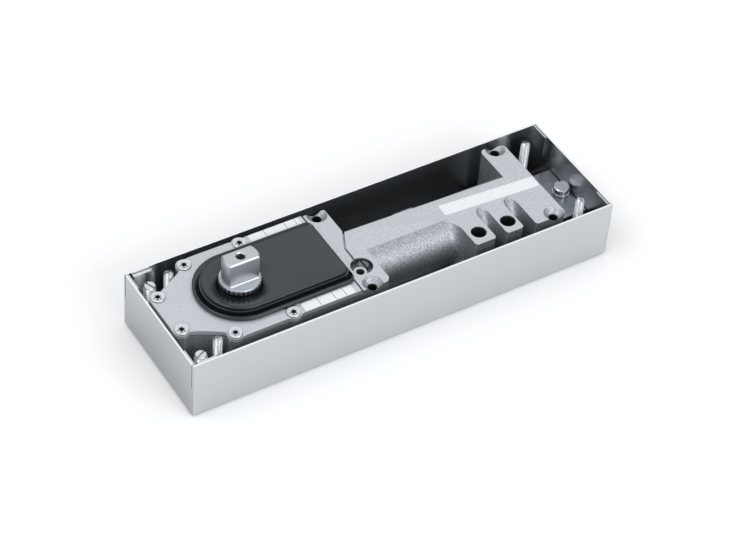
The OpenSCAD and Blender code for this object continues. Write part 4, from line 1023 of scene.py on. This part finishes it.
class MakeStage(bpy.types.Operator):
    """Makes the pale floor, the soft lights and the camera"""

    bl_idname = "floor_closer.stage"
    bl_label = "Stage"

    def execute(self, context):
        scene = context.scene
        shape = bmesh.new()
        bmesh.ops.create_grid(shape, x_segments=4, y_segments=4, size=12.0)
        mesh = mesh_of(shape, "studio_floor")
        floor = bpy.data.objects.new("studio_floor", mesh)
        # A hair under the box, so that the two faces don't flicker
        floor.location.z = -0.0002
        scene.collection.objects.link(floor)
        card, _, shader, _ = new_material("studio_paper_white")
        shader.inputs["Roughness"].default_value = 0.9
        shader.inputs["Base Color"].default_value = linear("#FDFDFD")
        mesh.materials.append(card)

        world = bpy.data.worlds.new("studio_light")
        scene.world = world
        world.use_nodes = True
        sky = world.node_tree
        air = sky.nodes["Background"]
        way = sky.nodes.new("ShaderNodeTexCoord").outputs["Generated"]
        height = add_node(sky, "ShaderNodeSeparateXYZ", links={0: way}).outputs["Z"]
        # The studio is darker behind the object, as seen from the photograph's side, than elsewhere
        away = {"operation": "DOT_PRODUCT", 1: (0.567, 0.824, 0.0)}
        behind = add_node(sky, "ShaderNodeVectorMath", away, {0: way})
        dot = {0: behind.outputs["Value"]}
        far = add_node(sky, "ShaderNodeMath", {"operation": "MAXIMUM", 1: 0.0}, dot)
        lower = {"operation": "MULTIPLY_ADD", 1: -0.22}
        level = add_node(sky, "ShaderNodeMath", lower, {0: far.outputs[0], 2: height})
        # Dark near the horizon, brightest half way up and dimmer overhead
        bands = [(0.0, 0.05), (0.15, 0.10), (0.42, 0.85), (0.7, 0.85), (0.88, 0.62), (1.0, 0.50)]
        glow = ramp_of(sky, level.outputs[0], bands)
        daylight = {"operation": "MULTIPLY", 1: (0.975, 0.992, 1.015)}
        cool = add_node(sky, "ShaderNodeVectorMath", daylight, {0: glow.outputs[0]})
        sky.links.new(cool.outputs[0], air.inputs["Color"])
        air.inputs["Strength"].default_value = 1.29

        # Soft lamps, as name, place, aim, width and depth in metres, and watts
        for name, place, aim, width, depth, power in (
            ("softbox_left", (-1.2, 0.1, 2.0), (0, 0, 0), 1.2, 0.9, 8.5),
            ("softbox_front", (0.25, -1.6, 1.1), (0, 0, 0.02), 1.2, 0.7, 8.8),
        ):
            data = bpy.data.lights.new(name, "AREA")
            data.shape = "RECTANGLE"
            data.size, data.size_y, data.energy = width, depth, power
            lamp = bpy.data.objects.new(name, data)
            scene.collection.objects.link(lamp)
            lamp.location = place
            lamp.rotation_euler = (Vector(aim) - Vector(place)).to_track_quat("-Z", "Y").to_euler()

        # The camera stands where the photograph was taken from, solved from the box's corners:
        # its direction and roll, its place in box lengths, and its focal length in image pixels
        turn, rise, roll = (math.radians(angle) for angle in (-34.56, 44.51, 4.84))
        distance, aside, above = 5.255, -0.0027, 0.0372
        focal_pixels, image_width, sensor = 2508.5, 737, 36.0
        box_length = 0.288
        flat = math.cos(rise)
        back = Vector((math.sin(turn) * flat, -math.cos(turn) * flat, math.sin(rise)))
        right = Vector((0, 0, 1)).cross(back).normalized()
        up = back.cross(right)
        right, up = (
            right * math.cos(roll) + up * math.sin(roll),
            up * math.cos(roll) - right * math.sin(roll),
        )
        spot = (back * distance + right * aside + up * above) * box_length
        data = bpy.data.cameras.new("photograph_view")
        data.sensor_width = sensor
        data.lens = sensor * focal_pixels / image_width
        data.clip_start, data.clip_end = 0.05, 20.0
        camera = bpy.data.objects.new("photograph_view", data)
        camera.matrix_world = Matrix(
            (
                (right.x, up.x, back.x, spot.x),
                (right.y, up.y, back.y, spot.y),
                (right.z, up.z, back.z, spot.z),
                (0, 0, 0, 1),
            )
        )
        scene.collection.objects.link(camera)
        scene.camera = camera
        scene.view_settings.view_transform = "Standard"
        scene.view_settings.look = "None"
        return {"FINISHED"}


class FloorCloserPanel(bpy.types.Panel):
    """Lists the sizes, finishes and pieces of the floor closer"""

    bl_idname = "VIEW3D_PT_floor_closer"
    bl_label = "Floor Closer"
    bl_space_type = "VIEW_3D"
    bl_region_type = "UI"
    bl_category = "Floor Closer"

    def draw(self, context):
        for group in (context.scene.closer_sizes, context.scene.closer_finish):
            for key in group.__annotations__:
                self.layout.prop(group, key)
        for maker in MAKERS:
            self.layout.operator(maker.bl_idname)


MAKERS = (
    MakeCementBox,
    MakeCasting,
    MakeCover,
    MakeShroud,
    MakeSpindle,
    MakeScrews,
    MakeLabels,
    MakeMechanism,
    MakeStage,
)
CLASSES = (CloserSizes, CloserFinish) + MAKERS + (FloorCloserPanel,)


def register():
    """Registers the settings, the operators and the panel"""
    for kind in CLASSES:
        bpy.utils.register_class(kind)
    bpy.types.Scene.closer_sizes = bpy.props.PointerProperty(type=CloserSizes)
    bpy.types.Scene.closer_finish = bpy.props.PointerProperty(type=CloserFinish)


def unregister():
    """Takes the settings, the operators and the panel away again"""
    del bpy.types.Scene.closer_finish
    del bpy.types.Scene.closer_sizes
    for kind in reversed(CLASSES):
        bpy.utils.unregister_class(kind)


def main():
    """Makes every piece and the stage"""
    register()
    for maker in MAKERS:
        group, name = maker.bl_idname.split(".")
        getattr(getattr(bpy.ops, group), name)()


if __name__ == "__main__":
    main()
